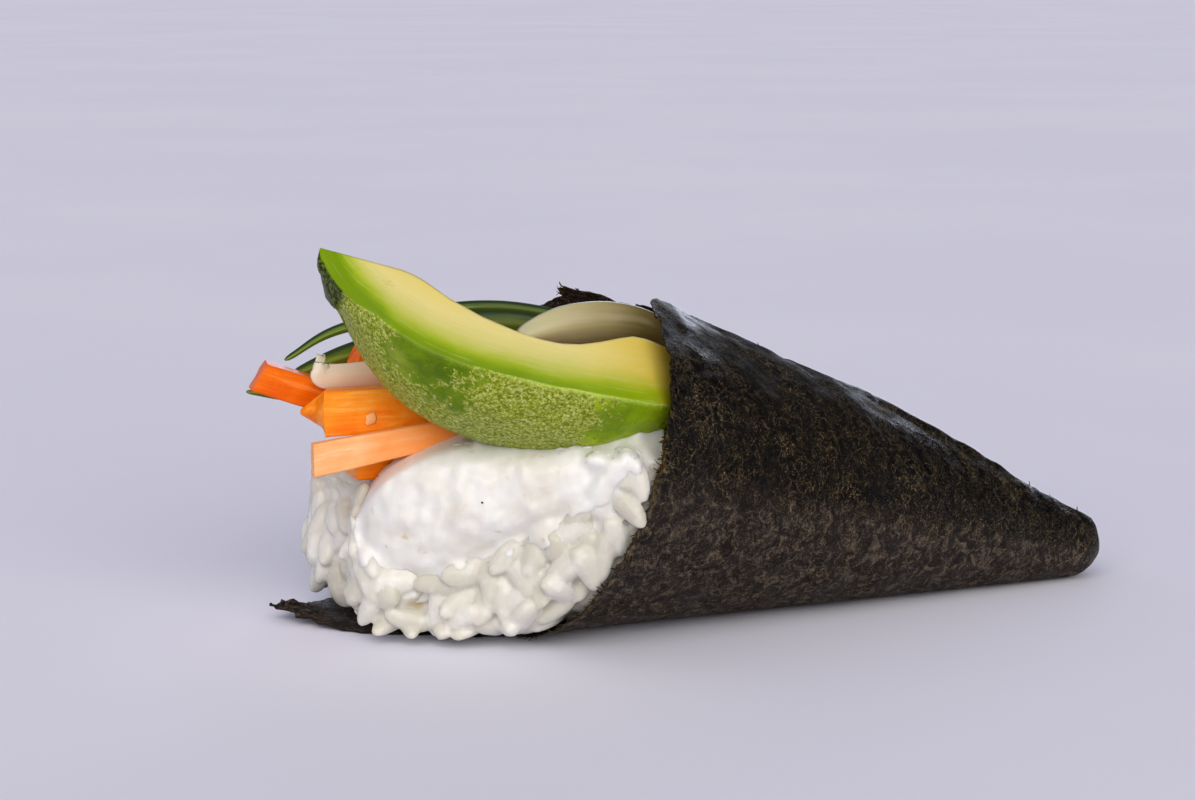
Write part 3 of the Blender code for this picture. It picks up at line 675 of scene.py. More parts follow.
# Starch sticks the grains to each other and to the rice under them: all of it is fused into one soft skin
loose = bpy.data.meshes.new("loose_rice")
loose_points = [(p + CONE_POINT) * MM for p in grain_points + core_points]
loose.from_pydata(loose_points, [], grain_faces + core_faces)
loose_rice = bpy.data.objects.new("loose_rice", loose)
bpy.context.scene.collection.objects.link(loose_rice)
starch = loose_rice.modifiers.new("starch", "REMESH")
starch.mode = "VOXEL"
starch.voxel_size = FUSE_STEP * MM
softened = loose_rice.modifiers.new("softened", "SMOOTH")
softened.factor, softened.iterations = 0.5, FUSE_PASSES
thinned = loose_rice.modifiers.new("thinned", "DECIMATE")
thinned.ratio = FUSED_SHARE
bpy.context.view_layer.update()
fused = bpy.data.meshes.new_from_object(loose_rice.evaluated_get(bpy.context.evaluated_depsgraph_get()))
rice_points = [v.co / MM - CONE_POINT for v in fused.vertices]
rice_faces = [tuple(p.vertices) for p in fused.polygons]
bpy.data.objects.remove(loose_rice)

grain_tree = BVHTree.FromPolygons(grain_points, grain_faces)
bed_tree = node_tree_of(["rice_bed"])
# How far a place has sunk under the bed sets its painted shade in the gaps
rice_tone, rice_end, rice_gap_shade = [], [], []
for p in rice_points:
    face = grain_tree.find_nearest(p)[2]
    corner = grain_faces[face][0]
    ends = [grain_shares[k] for k in grain_faces[face]]
    rice_tone.append(grain_tones[corner])
    rice_end.append(sum(ends) / len(ends))
    spot, out, _, depth = bed_tree.find_nearest(p)
    sunk = depth if (p - spot).dot(out) < 0 else 0.0
    rice_gap_shade.append(smooth_step(GAP_FROM, GAP_TO, sunk))

# Steamed rice: milky, with clearer ends, and amber in the gaps between the grains: painted shade, tinted by
# the light that comes back out of them
rice_look, tree, shader = new_material("steamed_rice")
tone = add_node(tree, "Attribute", {"attribute_name": "tone"})["Fac"]
end = add_node(tree, "Attribute", {"attribute_name": "end"})["Fac"]
gap = add_node(tree, "Attribute", {"attribute_name": "gap"})["Fac"]
room = add_node(tree, "TexCoord", {})["Object"]
cloud = add_node(
    tree, "TexNoise", {0: room, "Scale": 1.0 / (2.38 * MM), "Detail": 3.0, "Roughness": 0.5}
)["Fac"]
toned = add_node(
    tree, "ValToRGB", {0: tone, "ramp": ((0.0, "#c8c4b6"), (0.5, "#d4d1c6"), (1.0, "#dfddd6"))}
)["Color"]
gel = add_node(
    tree, "MapRange", {0: end, "From Min": 0.55, "From Max": 1.0, "To Min": 0.0, "To Max": 0.3}
)[0]
ended = add_node(tree, "Mix", {"data_type": "RGBA", 0: gel, 6: toned, 7: "#cbc6b6"})[2]
clouded = add_node(
    tree, "MapRange", {0: cloud, "From Min": 0.5, "From Max": 0.75, "To Min": 0.0, "To Max": 0.3}
)[0]
grain_colour = add_node(tree, "Mix", {"data_type": "RGBA", 0: clouded, 6: ended, 7: "#ffffff"})[2]
# Painted shade: amber in the gaps between the grains
painted_gap_shade = add_node(tree, "Mix", {"data_type": "RGBA", 0: gap, 6: grain_colour, 7: "#b09a68"})[2]
skin = add_node(
    tree, "TexNoise", {0: room, "Scale": 1.0 / (1.11 * MM), "Detail": 2.0, "Roughness": 0.5}
)["Fac"]
skin_normal = add_node(tree, "Bump", {"Height": skin, "Strength": 0.25, "Distance": 0.00012})["Normal"]
set_up(
    tree, shader,
    {"Base Color": painted_gap_shade, "Normal": skin_normal, "Roughness": 0.24, "IOR": 1.4, "Subsurface Weight": 0.85,
     "Subsurface Radius": (1.0, 0.97, 0.92), "Subsurface Scale": 0.0011},
)
make_piece(
    "rice_grains", rice_points, rice_faces, rice_look, ["rice_bed"],
    {"tone": rice_tone, "end": rice_end, "gap": rice_gap_shade},
)

# ---------------------------------------------------------------- cream cheese
# A band of cream cheese spread on the rice with a knife: smooth and white, with painted pink light bounced
# off the carrot at its upper edge, soft ridges along the stroke, and the grains of rice showing through at
# its rims.

SPREAD_STEP = 0.4
SPREAD_ALONG, SPREAD_HIGH = (-138.4, -90.6), (-1.6, 24.6)
SPREAD_BACK = 2.2  # how far the cheese reaches into the rice behind its face
STEEPEST, STEEPEST_UP = 1.3, 0.55  # how far its face may fall back in a step along, and in a step up
DEEPEST_DROP, DROP_SLOPE = 6.5, 2.5  # how far behind the carrots it reaches, and how steeply
FILM, THICK = 0.25, 0.5  # how much it stands above the grains at its rim, and how much more in the middle
SUNK_RIM = 1.5  # how far under the grains its body ends, out past its rim
UNDER_CARROTS = 0.7  # how far below SPREAD_TOP it starts to fall back
SIGHT_FROM = 120.0  # how far before the roll the lines along the spreading way start
SPREAD_TOP = (
    (-138, 10), (-135.2, 13.9), (-132.8, 16.6), (-130.4, 18.4), (-128, 19.8), (-125.6, 21), (-121.8, 22.1),
    (-119, 22.6), (-117, 30), (-90, 30),
)  # above this it passes behind the carrots

cheese_and_bed = node_tree_of(["rice_bed", "cream_cheese"])
rice_tree = BVHTree.FromPolygons(rice_points, rice_faces)
carrot_sides = node_tree_of([n for n in fillings if n.startswith("carrot")])


def how_far(tree, along, high):
    """Where the spreading way first meets what is in the tree, from the plane through the cone's point."""
    start = SPREAD_RIGHT * along + SPREAD_UP * high - SPREAD_WAY * SIGHT_FROM
    hit = tree.ray_cast(start, SPREAD_WAY)[0]
    return hit.dot(SPREAD_WAY) if hit is not None else math.nan


def blurred(heights, times):
    """Heights over a grid, each the mean of itself and its neighbours, that many times over."""
    for _ in range(times):
        wide = np.pad(heights, 1, mode="edge")
        high, long = heights.shape
        shifted = [wide[i : i + high, j : j + long] for i in range(3) for j in range(3)]
        heights = sum(shifted) / len(shifted)
    return heights


def spread_face():
    """The cheese's outer face over a grid: places, how thick it is there, and which of them it covers."""
    alongs = np.arange(*SPREAD_ALONG, SPREAD_STEP)
    highs = np.arange(*SPREAD_HIGH, SPREAD_STEP)
    ground = np.array([[how_far(cheese_and_bed, a, h) for h in highs] for a in alongs])
    grains = np.array([[how_far(rice_tree, a, h) for h in highs] for a in alongs])
    middle = len(alongs) // 2
    order = [*range(middle, len(alongs)), *range(middle - 1, -1, -1)]
    for i in order:
        back = i - 1 if i > middle else i + 1
        for j in range(len(highs)):
            limits = [ground[back, j] + STEEPEST] if i != middle else []
            if j:
                limits.append(ground[i, j - 1] + STEEPEST_UP)
            limits = [limit for limit in limits if not math.isnan(limit)]
            if math.isnan(ground[i, j]):
                ground[i, j] = min(limits) if limits else -60.0
            elif limits:
                ground[i, j] = min(ground[i, j], *limits)
    ground = blurred(ground, 3)
    relief = np.clip(np.nan_to_num(ground - grains, nan=-0.6), -0.9, 1.7)
    relief = blurred(relief, 1)
    places, depths, kept = {}, {}, set()
    for i, a in enumerate(alongs):
        top = read_off(SPREAD_TOP, a) - UNDER_CARROTS
        highest = top + DEEPEST_DROP / DROP_SLOPE
        for j, h in enumerate(highs):
            reached = h < highest + SPREAD_STEP
            h = min(h, highest)
            inside = over_spread_edge(SPREAD_RIGHT * a + SPREAD_UP * h)
            inside = min(inside, (a - SPREAD_ALONG[0]) * 1.6)
            depth = -SUNK_RIM + (SUNK_RIM + FILM) * smooth_step(-4.0, 4.0, inside)
            depth += THICK * smooth_step(2.5, 8.0, inside)
            ripple = 0.65 * lumps((a, h, 0), 5.2, 2.0) + 0.45 * lumps((1.5 * a, h, 3), 2.5, 5.0)
            ripple += 0.2 * lumps((a, h, 7), 1.1, 1.0)
            depth -= DROP_SLOPE * max(0.0, h - top)
            rise = relief[i, j] * (1.15 - 0.5 * smooth_step(4.0, 13.0, inside)) + depth
            far = ground[i, j] - rise - ripple * smooth_step(-1.0, 4.0, inside)
            places[i, j] = SPREAD_RIGHT * a + SPREAD_UP * h + SPREAD_WAY * far
            depths[i, j] = depth
            if inside > -4.0 and reached:
                kept.add((i, j))
    return places, depths, kept


def spread_mesh():
    """The closed body behind the spread face: points, faces and thickness."""
    places, depths, kept = spread_face()
    index, points, depth = {}, [], []
    for side, shift in enumerate((0.0, SPREAD_BACK)):
        for key in sorted(kept):
            index[side, key] = len(points)
            points.append(places[key] + SPREAD_WAY * shift)
            depth.append(depths[key])
    faces, rims = [], {}
    for i, j in sorted(kept):
        cell = [(i, j), (i + 1, j), (i + 1, j + 1), (i, j + 1)]
        if any(key not in kept for key in cell):
            continue
        faces.append(tuple(index[0, key] for key in cell))
        faces.append(tuple(index[1, key] for key in reversed(cell)))
        for start, stop in zip(cell, cell[1:] + cell[:1]):
            if (stop, start) in rims:
                del rims[stop, start]
            else:
                rims[start, stop] = True
    for start, stop in rims:
        faces.append((index[0, stop], index[0, start], index[1, start], index[1, stop]))
    used = sorted({k for face in faces for k in face})
    renamed = {k: n for n, k in enumerate(used)}
    faces = [tuple(renamed[k] for k in face) for face in faces]
    return [points[k] for k in used], faces, [depth[k] for k in used]


points, faces, thickness = spread_mesh()
# Painted light bounced off the carrots: a pink glow on the cheese near them
carrot_glow_share = [smooth_step(5.5, 0.4, carrot_sides.find_nearest(p)[3]) for p in points]

# Cream cheese, spread: dense and milky, with a soft shine and fine curds, and small pits of painted
# yellowish shade where it is thin
cheese_look, tree, shader = new_material("spread_cream_cheese")
room = add_node(tree, "TexCoord", {})["Object"]
stain = add_node(tree, "Attribute", {"attribute_name": "stain"})["Fac"]
drift = add_node(
    tree, "TexNoise", {0: room, "Scale": 1.0 / (6.667 * MM), "Detail": 4.0, "Roughness": 0.55}
)["Fac"]
milk = add_node(
    tree, "ValToRGB", {0: drift, "ramp": ((0.3, "#dcd8ce"), (0.48, "#e3e1dc"), (0.7, "#e9e9e6"))}
)["Color"]
# Painted pink light bounced from the carrots
carrot_glow_strength = add_node(tree, "Math", {"operation": "MULTIPLY", 0: stain, 1: 0.65})[0]
carrot_glow_tinted = add_node(tree, "Mix", {"data_type": "RGBA", 0: carrot_glow_strength, 6: milk, 7: "#f3d3c0"})[2]
thin = add_node(tree, "Attribute", {"attribute_name": "depth"})["Fac"]
pits = add_node(
    tree, "TexNoise", {0: room, "Scale": 1.0 / (2.632 * MM), "Detail": 2.0, "Roughness": 0.5}
)["Fac"]
pit = add_node(tree, "MapRange", {0: pits, "From Min": 0.66, "From Max": 0.74})[0]
rim = add_node(
    tree, "MapRange", {0: thin, "From Min": 0.5, "From Max": 1.0, "To Min": 0.75, "To Max": 0.0}
)[0]
# Painted shade: yellowish pits where the cheese is thin
pit_shade_share = add_node(tree, "Math", {"operation": "MULTIPLY", 0: pit, 1: rim})[0]
pit_shaded = add_node(tree, "Mix", {"data_type": "RGBA", 0: pit_shade_share, 6: carrot_glow_tinted, 7: "#cdb682"})[2]
curds = add_node(
    tree, "TexNoise", {0: room, "Scale": 1.0 / (1.613 * MM), "Detail": 3.0, "Roughness": 0.6}
)["Fac"]
curd_normal = add_node(tree, "Bump", {"Height": curds, "Strength": 0.3, "Distance": 0.0003})["Normal"]
set_up(
    tree, shader,
    {"Base Color": pit_shaded, "Normal": curd_normal, "Roughness": 0.42, "IOR": 1.42, "Subsurface Weight": 0.5,
     "Subsurface Radius": (1.0, 0.85, 0.7), "Subsurface Scale": 0.0015},
)
make_piece(
    "cream_cheese_band", points, faces, cheese_look, ["cream_cheese"],
    {"stain": carrot_glow_share, "depth": thickness},
)

# A dark crumb on the cheese, small shreds of cheese along the foot of the avocado, and a wet smear on the
# carrot. Each has its slot, how many bits it is, where they lie along and up, half a bit's width and height,
# and the seed of its random draws
BITS = (
    ("nori_crumb", "nori", 1, (-117.6, -117.4), (13.8, 13.9), (0.26, 0.2), 2),
    ("cheese_shreds", "cheese", 9, (-107.5, -94.0), (20.6, 21.9), (0.8, 0.3), 5),
    ("wet_smear_on_carrot", "cheese", 1, (-134.5, -134.5), (25.9, 25.9), (0.75, 0.95), 8),
)
BIT_ROUND, BIT_RINGS = 10, 5


def bit_mesh(count, alongs, highs, size, seed):
    """Small flattened lumps, stuck to whatever stands first on the spreading way."""
    draw = np.random.default_rng(seed)
    points, faces = [], []
    for n in range(count):
        a = alongs[0] + (alongs[1] - alongs[0]) * (n + draw.random()) / count
        h = highs[0] + (highs[1] - highs[0]) * draw.random()
        start = SPREAD_RIGHT * a + SPREAD_UP * h - SPREAD_WAY * SIGHT_FROM
        hits = [tree.ray_cast(start, SPREAD_WAY) for tree in (face_tree, wedge_tree, carrot_sides)]
        met = [(h[0], h[1]) for h in hits if h[0] is not None]
        hit, out = min(met, key=lambda pair: pair[0].dot(SPREAD_WAY))
        out = out if out.dot(SPREAD_WAY) < 0 else -out
        wide = (SPREAD_RIGHT - SPREAD_RIGHT.dot(out) * out).normalized()
        tall, turned = out.cross(wide), 0.5 * draw.standard_normal()
        grown = 0.7 + 0.6 * draw.random()
        first = len(points)
        for i in range(BIT_RINGS):
            level = math.pi * (i + 0.5) / BIT_RINGS
            spread, lift = math.sin(level), -math.cos(level)
            for k in range(BIT_ROUND):
                angle = 2 * math.pi * k / BIT_ROUND
                ragged = 1.0 + 0.45 * lumps((math.cos(angle), math.sin(angle), 3 * n), 0.8, seed)
                x = size[0] * spread * math.cos(angle) * ragged
                y = size[1] * spread * math.sin(angle) * ragged
                x, y = (
                    x * math.cos(turned) - y * math.sin(turned),
                    y * math.cos(turned) + x * math.sin(turned),
                )
                points.append(hit + grown * (wide * x + tall * y) + out * (0.14 * lift + 0.04))
        faces += ring_faces(first, BIT_RINGS, BIT_ROUND)
    return points, faces


smear_look, tree, shader = new_material("wet_starch_on_carrot")
set_up(
    tree, shader,
    {"Base Color": "#ffae6c", "Roughness": 0.15, "IOR": 1.4, "Subsurface Weight": 0.3,
     "Subsurface Scale": 0.0008},
)
face_tree = BVHTree.FromPolygons(points, faces)
wedge_tree = node_tree_of(["avocado_slice"])
for bit_name, slot_name, count, alongs, highs, size, seed in BITS:
    points, faces = bit_mesh(count, alongs, highs, size, seed)
    look = {"nori_crumb": nori, "wet_smear_on_carrot": smear_look}.get(bit_name, cheese_look)
    make_piece(bit_name, points, faces, look, [], {"depth": [1.0] * len(points)})

# ---------------------------------------------------------------- avocado
# A wedge of ripe avocado, peeled by hand and pressed into the rice: a smooth cut face that goes from yellow
# by the stone to green under the skin, and a rounded side, rough where the peel tore away, with some dark
# peel left at its tip.

SLICE_TIP = Vector((-151.6, 0.0, 60.4))
SLICE_AXIS = Vector((48.5, -14.0, -14.3)).normalized()
SLICE_FACING = Vector((-0.378, -0.912, 0.156))
SLICE_LENGTH = 80.0
SLICE_RADIUS = 21.8
SLICE_WIDEST = 30.0
SLICE_BEND_FROM = 42.0
SLICE_BEND = Vector((0.0, 0.026, -0.0055))
SLICE_LOW = -13.0
SLICE_HIGH = (
    (0, 42), (1, 43), (3, 49), (6, 51.5), (8, 55), (10, 57),
    (17, 56.5), (30, 59), (40, 59), (50, 58), (60, 56),
)
SLICE_HOLLOW = (
    (0, 0.3), (8, 0.35), (12.5, 0.4), (14, 0.75), (16, 1.7), (20, 4.7), (25, 7.4), (30, 9.1),
    (34, 9.6), (37, 9.3), (40, 8.0), (43, 5.8), (46, 3.2), (48.5, 1.3), (51, 0.7), (80, 0.7),
)
SLICE_DENT = ((0, 0), (2.6, 0), (4.5, 1.1), (6, 1.4), (8, 0.8), (11, 0.3), (14, 0))
BLUNT_LENGTH, BLUNT_RADIUS = 1.3, 3.3
PEEL_LENGTH, PEEL_THICKNESS = 4.6, 0.75
TORN_RELIEF = ((1.1, 3.0, 0.16), (4.0, 7.0, 0.34))  # lumps of the torn side: size, seed and height
SLICE_STATIONS = 190
ACROSS_FACE, ROUND_SKIN, ROUND_STONE = 26, 60, 6


def loft(rings):
    """Points and faces of a closed body through rings of equal count, with a fan on each end."""
    count = len(rings[0])
    points = [p for ring in rings for p in ring]
    faces = []
    for i in range(len(rings) - 1):
        for j in range(count):
            k = (j + 1) % count
            faces.append((i * count + j, i * count + k, (i + 1) * count + k, (i + 1) * count + j))
    for start in (0, (len(rings) - 1) * count):
        points.append(sum(points[start : start + count], Vector()) / count)
        middle = len(points) - 1
        faces += [(start + j, start + (j + 1) % count, middle) for j in range(count)]
    return points, faces


def slice_radius(along):
    """From the long axis out to the skin."""
    if along > SLICE_WIDEST:
        return SLICE_RADIUS * (1.0 - ((along - SLICE_WIDEST) / (SLICE_LENGTH - SLICE_WIDEST)) ** 2)
    pear = SLICE_RADIUS * (1.0 - ((SLICE_WIDEST - along) / SLICE_WIDEST) ** 2) ** 0.7
    left = max(0.0, 1.0 - along / BLUNT_LENGTH)
    return max(pear, BLUNT_RADIUS * math.sqrt(1.0 - left * left))


def slice_mesh():
    """The wedge's points, and at each of them (along it, depth under the skin, place round the skin)."""
    facing = (SLICE_FACING - SLICE_FACING.dot(SLICE_AXIS) * SLICE_AXIS).normalized()
    down = SLICE_AXIS.cross(facing)
    if down.z > 0:
        down = -down
    rings, spots = [], []
    for i in range(SLICE_STATIONS + 1):
        along = SLICE_LENGTH * (1.0 - math.cos(math.pi * (0.012 + 0.943 * i / SLICE_STATIONS))) / 2
        outer = slice_radius(along)
        inner = min(read_off(SLICE_HOLLOW, along), 0.8 * outer)
        low, high = math.radians(SLICE_LOW), math.radians(read_off(SLICE_HIGH, along))
        places = [(high, inner + (outer - inner) * k / ACROSS_FACE) for k in range(ACROSS_FACE)]
        places += [(high + (low - high) * k / ROUND_SKIN, outer) for k in range(ROUND_SKIN)]
        places += [(low, outer + (inner - outer) * k / ACROSS_FACE) for k in range(ACROSS_FACE)]
        places += [(low + (high - low) * k / ROUND_STONE, inner) for k in range(ROUND_STONE)]
        past = max(0.0, along - SLICE_BEND_FROM)
        centre = SLICE_TIP + SLICE_AXIS * along + SLICE_BEND * past * past
        ring = []
        for a, r in places:
            out = math.cos(a) * down + math.sin(a) * facing
            spot = centre + r * out
            on_skin = smooth_step(outer - 0.6, outer, r)
            rough = sum(height * lumps(spot, size, seed) for size, seed, height in TORN_RELIEF)
            under = smooth_step(0.75, 0.1, a) * smooth_step(outer * 0.3, outer, r)
            rough -= read_off(SLICE_DENT, along) * under
            peel_end = PEEL_LENGTH + 0.9 * lumps(spot, 1.3, 5.0)
            peel = smooth_step(peel_end, peel_end - 0.5, along) * smooth_step(0.72, 0.5, a)
            rough += PEEL_THICKNESS * peel
            knife = 0.1 * lumps(spot, 6.0, 1.0) + 0.07 * lumps((along, 0.25 * r, 0), 2.6, 3.0)
            ring.append(spot + out * on_skin * rough + facing * (1 - on_skin) * knife)
            spots.append((along, outer - r, (high - a) / (high - low)))
        rings.append(ring)
    return rings, spots


rings, slice_spots = slice_mesh()
points, faces = loft(rings)
slice_spots += [(0.0, 0.0, 0.5), (SLICE_LENGTH, 0.0, 0.5)]

# Ripe flesh, cut smooth: green for a few millimetres under the skin, further in near the tip, then yellow,
# with faint fibres along it, and painted shade of the nori wall at its far end: deeper colours, then ochre
avocado_look, tree, shader = new_material("ripe_avocado_flesh")
where = add_node(tree, "Attribute", {"attribute_name": "slice"})["Vector"]
split = add_node(tree, "SeparateXYZ", {0: where})
along, depth, around = split["X"], split["Y"], split["Z"]
room = add_node(tree, "TexCoord", {})["Object"]
cloudy = {}
for name, width, detail, roughness, distortion in (
    ("drift", 8.0, 4.0, 0.55, 0.0), ("bruise", 2.6, 4.0, 0.7, 0.5), ("speck", 0.5, 2.0, 0.75, 0.3),
    ("wander", 5.0, 3.0, 0.6, 0.0), ("stipple", 0.9, 2.0, 0.7, 0.0), ("scuff", 1.7, 4.0, 0.75, 0.6),
):  # its features are about that many millimetres wide
    cloudy[name] = add_node(
        tree, "TexNoise",
        {0: room, "Scale": 1.0 / (width * MM), "Detail": detail, "Roughness": roughness,
         "Distortion": distortion},
    )["Fac"]
drawn = add_node(tree, "Mapping", {0: where, "Scale": (0.1, 1.1, 0.0)})[0]
fibres = add_node(tree, "TexNoise", {0: drawn, "Scale": 1.0, "Detail": 3.0, "Roughness": 0.6})["Fac"]

# The places along the slice, under its skin and round it, in mm, made to wander a little, and the zones that
# are read off them: a zone's name, what it is read off, from where to where, and its share at both
drift = add_node(tree, "Math", {"operation": "SUBTRACT", 0: cloudy["drift"], 1: 0.5})[0]
wander = add_node(tree, "Math", {"operation": "SUBTRACT", 0: cloudy["wander"], 1: 0.5})[0]
drifted = add_node(tree, "Math", {"operation": "MULTIPLY_ADD", 0: drift, 1: 4.0, 2: depth})[0]
along_wander = add_node(tree, "Math", {"operation": "MULTIPLY_ADD", 0: wander, 1: 16.0, 2: along})[0]
around_wander = add_node(tree, "Math", {"operation": "MULTIPLY_ADD", 0: wander, 1: 0.8, 2: around})[0]
peel_wander = add_node(tree, "Math", {"operation": "MULTIPLY_ADD", 0: wander, 1: 3.0, 2: along})[0]
zone = {}
for name, read, start, stop, at_start, at_stop in (
    ("green tip", along, 0.5, 12.0, 6.5, 0.0),
    ("riper", along, 38.0, 52.0, 0.0, 0.75),
    ("fibre", fibres, 0.55, 0.75, 0.0, 0.25),
    ("brown end", along, 52.0, 57.5, 0.0, 0.8),
    ("bruise", cloudy["bruise"], 0.64, 0.74, 0.0, 1.0),
    ("bruised end", along, 20.0, 9.0, 0.0, 0.5),
    ("bruised stone side", depth, 6.0, 11.0, 0.0, 1.0),
    ("lit side", along, 24.0, 42.0, 1.0, 0.0),
    ("lower side", around_wander, 0.22, 0.5, 0.0, 1.0),
    ("near tip", along_wander, 14.0, 9.0, 0.0, 1.0),
    ("further on", along_wander, 22.0, 30.0, 0.0, 1.0),
    ("not the end", along_wander, 37.0, 49.0, 1.0, 0.0),
    ("scuffed", cloudy["scuff"], 0.62, 0.76, 0.0, 0.35),
    ("rim", around, 0.035, 0.0, 0.0, 1.0),
    ("rim light", along, 26.0, 38.0, 0.2, 0.75),
    ("peel left", peel_wander, 4.2, 5.4, 1.0, 0.0),
    ("skin", depth, 0.02, 0.35, 1.0, 0.0),
):
    zone[name] = add_node(
        tree, "MapRange",
        {0: read, "From Min": start, "From Max": stop, "To Min": at_start, "To Max": at_stop},
    )[0]

deep = add_node(tree, "Math", {"operation": "SUBTRACT", 0: drifted, 1: zone["green tip"]})[0]
for name, start, stop in (("ripening", 0.0, 16.0), ("yellow", 2.5, 8.0)):
    zone[name] = add_node(tree, "MapRange", {0: deep, "From Min": start, "From Max": stop})[0]
flesh = add_node(
    tree, "ValToRGB",
    {0: zone["ripening"], "ramp": (
        (0.0, "#759500"), (0.1, "#84a300"), (0.2, "#a3b81e"), (0.34, "#c8ca5c"), (0.48, "#dcd47c"),
        (0.7, "#ebdc8c"), (1.0, "#ebd678"),
    )},
)["Color"]
# Painted shade from the nori wall: the far end of the flesh turns deeper green and yellow, then ochre at the
# very end
riper = add_node(tree, "Mix", {"data_type": "RGBA", 0: zone["yellow"], 6: "#9cb412", 7: "#e8c93e"})[2]
bruised = zone["bruise"]
for other in ("bruised end", "bruised stone side"):
    bruised = add_node(tree, "Math", {"operation": "MULTIPLY", 0: bruised, 1: zone[other]})[0]
for share, colour in (
    (zone["riper"], riper), (zone["fibre"], "#f1e9ae"), (zone["brown end"], "#a5830f"), (bruised, "#a98645"),
):
    flesh = add_node(tree, "Mix", {"data_type": "RGBA", 0: share, 6: flesh, 7: colour})[2]

# The peeled side: speckled where the flesh tore, smooth where the knife ran, dark where peel is left, with
# painted shade in a darker green towards the tip and a painted highlight along the ridge
side_tone = {}
for name, read, ramp in (
    ("torn", "speck", ((0.34, "#616e04"), (0.46, "#7f8f18"), (0.54, "#9ca73e"), (0.68, "#c6cb80"))),
    ("smooth", "drift", ((0.36, "#6f8c00"), (0.5, "#86a400"), (0.64, "#a8bc22"))),
    ("in shade", "drift", ((0.36, "#4f6a00"), (0.5, "#658200"), (0.66, "#899c26"))),
    ("peel", "speck", ((0.36, "#101603"), (0.5, "#34420d"), (0.64, "#65702a"))),
):
    side_tone[name] = add_node(tree, "ValToRGB", {0: cloudy[read], "ramp": ramp})["Color"]
rough_zone = zone["lower side"]
for operation, other in (("MAXIMUM", "near tip"), ("MAXIMUM", "further on"), ("MULTIPLY", "not the end")):
    rough_zone = add_node(tree, "Math", {"operation": operation, 0: rough_zone, 1: zone[other]})[0]
sparse = add_node(
    tree, "Math", {"operation": "MULTIPLY_ADD", 0: rough_zone, 1: 0.62, 2: cloudy["stipple"]}
)[0]
torn_share = add_node(tree, "MapRange", {0: sparse, "From Min": 0.68, "From Max": 0.78})[0]
# Painted highlight: a light green line along the ridge
painted_ridge_highlight = add_node(tree, "Math", {"operation": "MULTIPLY", 0: zone["rim"], 1: zone["rim light"]})[0]
side_colour = side_tone["smooth"]
# Painted shade darkens the green of the side near the tip
for share, colour in (
    (zone["lit side"], side_tone["in shade"]), (torn_share, side_tone["torn"]), (zone["scuffed"], "#b9c56f"),
    (painted_ridge_highlight, "#b9cf5a"), (zone["peel left"], side_tone["peel"]),
):
    side_colour = add_node(tree, "Mix", {"data_type": "RGBA", 0: share, 6: side_colour, 7: colour})[2]
slice_colour = add_node(tree, "Mix", {"data_type": "RGBA", 0: zone["skin"], 6: flesh, 7: side_colour})[2]
stipples = add_node(tree, "Math", {"operation": "MULTIPLY", 0: zone["skin"], 1: cloudy["speck"]})[0]
slice_height = add_node(tree, "Math", {"operation": "MULTIPLY_ADD", 0: fibres, 1: 0.3, 2: stipples})[0]
slice_normal = add_node(
    tree, "Bump", {"Height": slice_height, "Strength": 0.6, "Distance": 0.0004}
)["Normal"]
set_up(
    tree, shader,
    {"Base Color": slice_colour, "Normal": slice_normal, "Roughness": 0.4, "IOR": 1.44,
     "Specular IOR Level": 0.15, "Subsurface Weight": 0.1, "Subsurface Radius": (1.0, 0.9, 0.3),
     "Subsurface Scale": 0.0007},
)
make_piece(
    "avocado_wedge", points, faces, avocado_look, ["avocado_slice"], {"slice": slice_spots}
)

# ---------------------------------------------------------------- carrot
# Four sticks of raw carrot and one thin ribbon, cut with a knife and laid side by side in the rice: flat,
# damp sides with fine fibres along them, slightly rounded arrises, and a paler, drier look on the ribbon.

# Each stick: the middles of its cut end and its far end, its (width, height) at both, its roll in degrees,
# and how its end was cut: slanted across, slanted upwards, and notched at one side
STICKS = {
    "front": ((-150.3, 6, 34.7), (-112, 5, 34.6), ((5.6, 6.9), (5.2, 6.2)), -3, (0, 0, 5.0)),
    "back": ((-156.8, 16.4, 39.3), (-122, 15.4, 26.8), ((5, 4.7), (4.8, 4.4)), 3, (0.4, 0.5, 0)),
    "low": ((-145.2, 8, 26.6), (-112, 7, 27.2), ((5.4, 5.1), (5, 4.8)), 0, (0, -0.6, 0)),
    "inner": ((-141.6, 14.2, 42.8), (-110, 13.6, 36.4), ((4.2, 5.2), (4, 4.4)), 6, (0, 0.7, 0)),
    "ribbon": ((-153.0, 1, 28.5), (-124, -0.6, 32.7), ((1.9, 5), (1.8, 3.6)), 0, (0, 0.35, 0)),
}
STICK_WAVE = 0.2
NOTCH_FROM = 0.54  # of the half height, where a notched end starts to reach further
STICK_STATIONS, STICK_SIDE_POINTS = 64, 8
ARRIS = 0.3  # radius of the arrises
END_RINGS = (0.5, 0.93, 1.0)  # rings of the cut end, by share of the section


def stick_outline(wide, high):
    """(across, up, side number) round a stick's section: flat sides with small rounded arrises."""
    corners = ((-1, -1), (1, -1), (1, 1), (-1, 1))
    made = []
    for n, (start, stop) in enumerate(zip(corners, corners[1:] + corners[:1])):
        flat_x, flat_y = wide / 2 - ARRIS, high / 2 - ARRIS
        outward = (stop[1] - start[1], start[0] - stop[0])
        out_x, out_y = outward[0] / 2, outward[1] / 2
        between = [(k + 1) / (STICK_SIDE_POINTS + 1) for k in range(STICK_SIDE_POINTS)]
        shares = [0.0, 0.05, *between, 0.95, 1.0]
        for share in shares:
            x = (start[0] + (stop[0] - start[0]) * share) * flat_x + out_x * ARRIS
            y = (start[1] + (stop[1] - start[1]) * share) * flat_y + out_y * ARRIS
            made.append((x, y, n))
        turn_x, turn_y = (stop[0] - start[0]) / 2, (stop[1] - start[1]) / 2
        diagonal = math.sqrt(0.5)
        made.append((
            stop[0] * flat_x + (out_x + turn_x) * diagonal * ARRIS,
            stop[1] * flat_y + (out_y + turn_y) * diagonal * ARRIS, n,
        ))
    return made


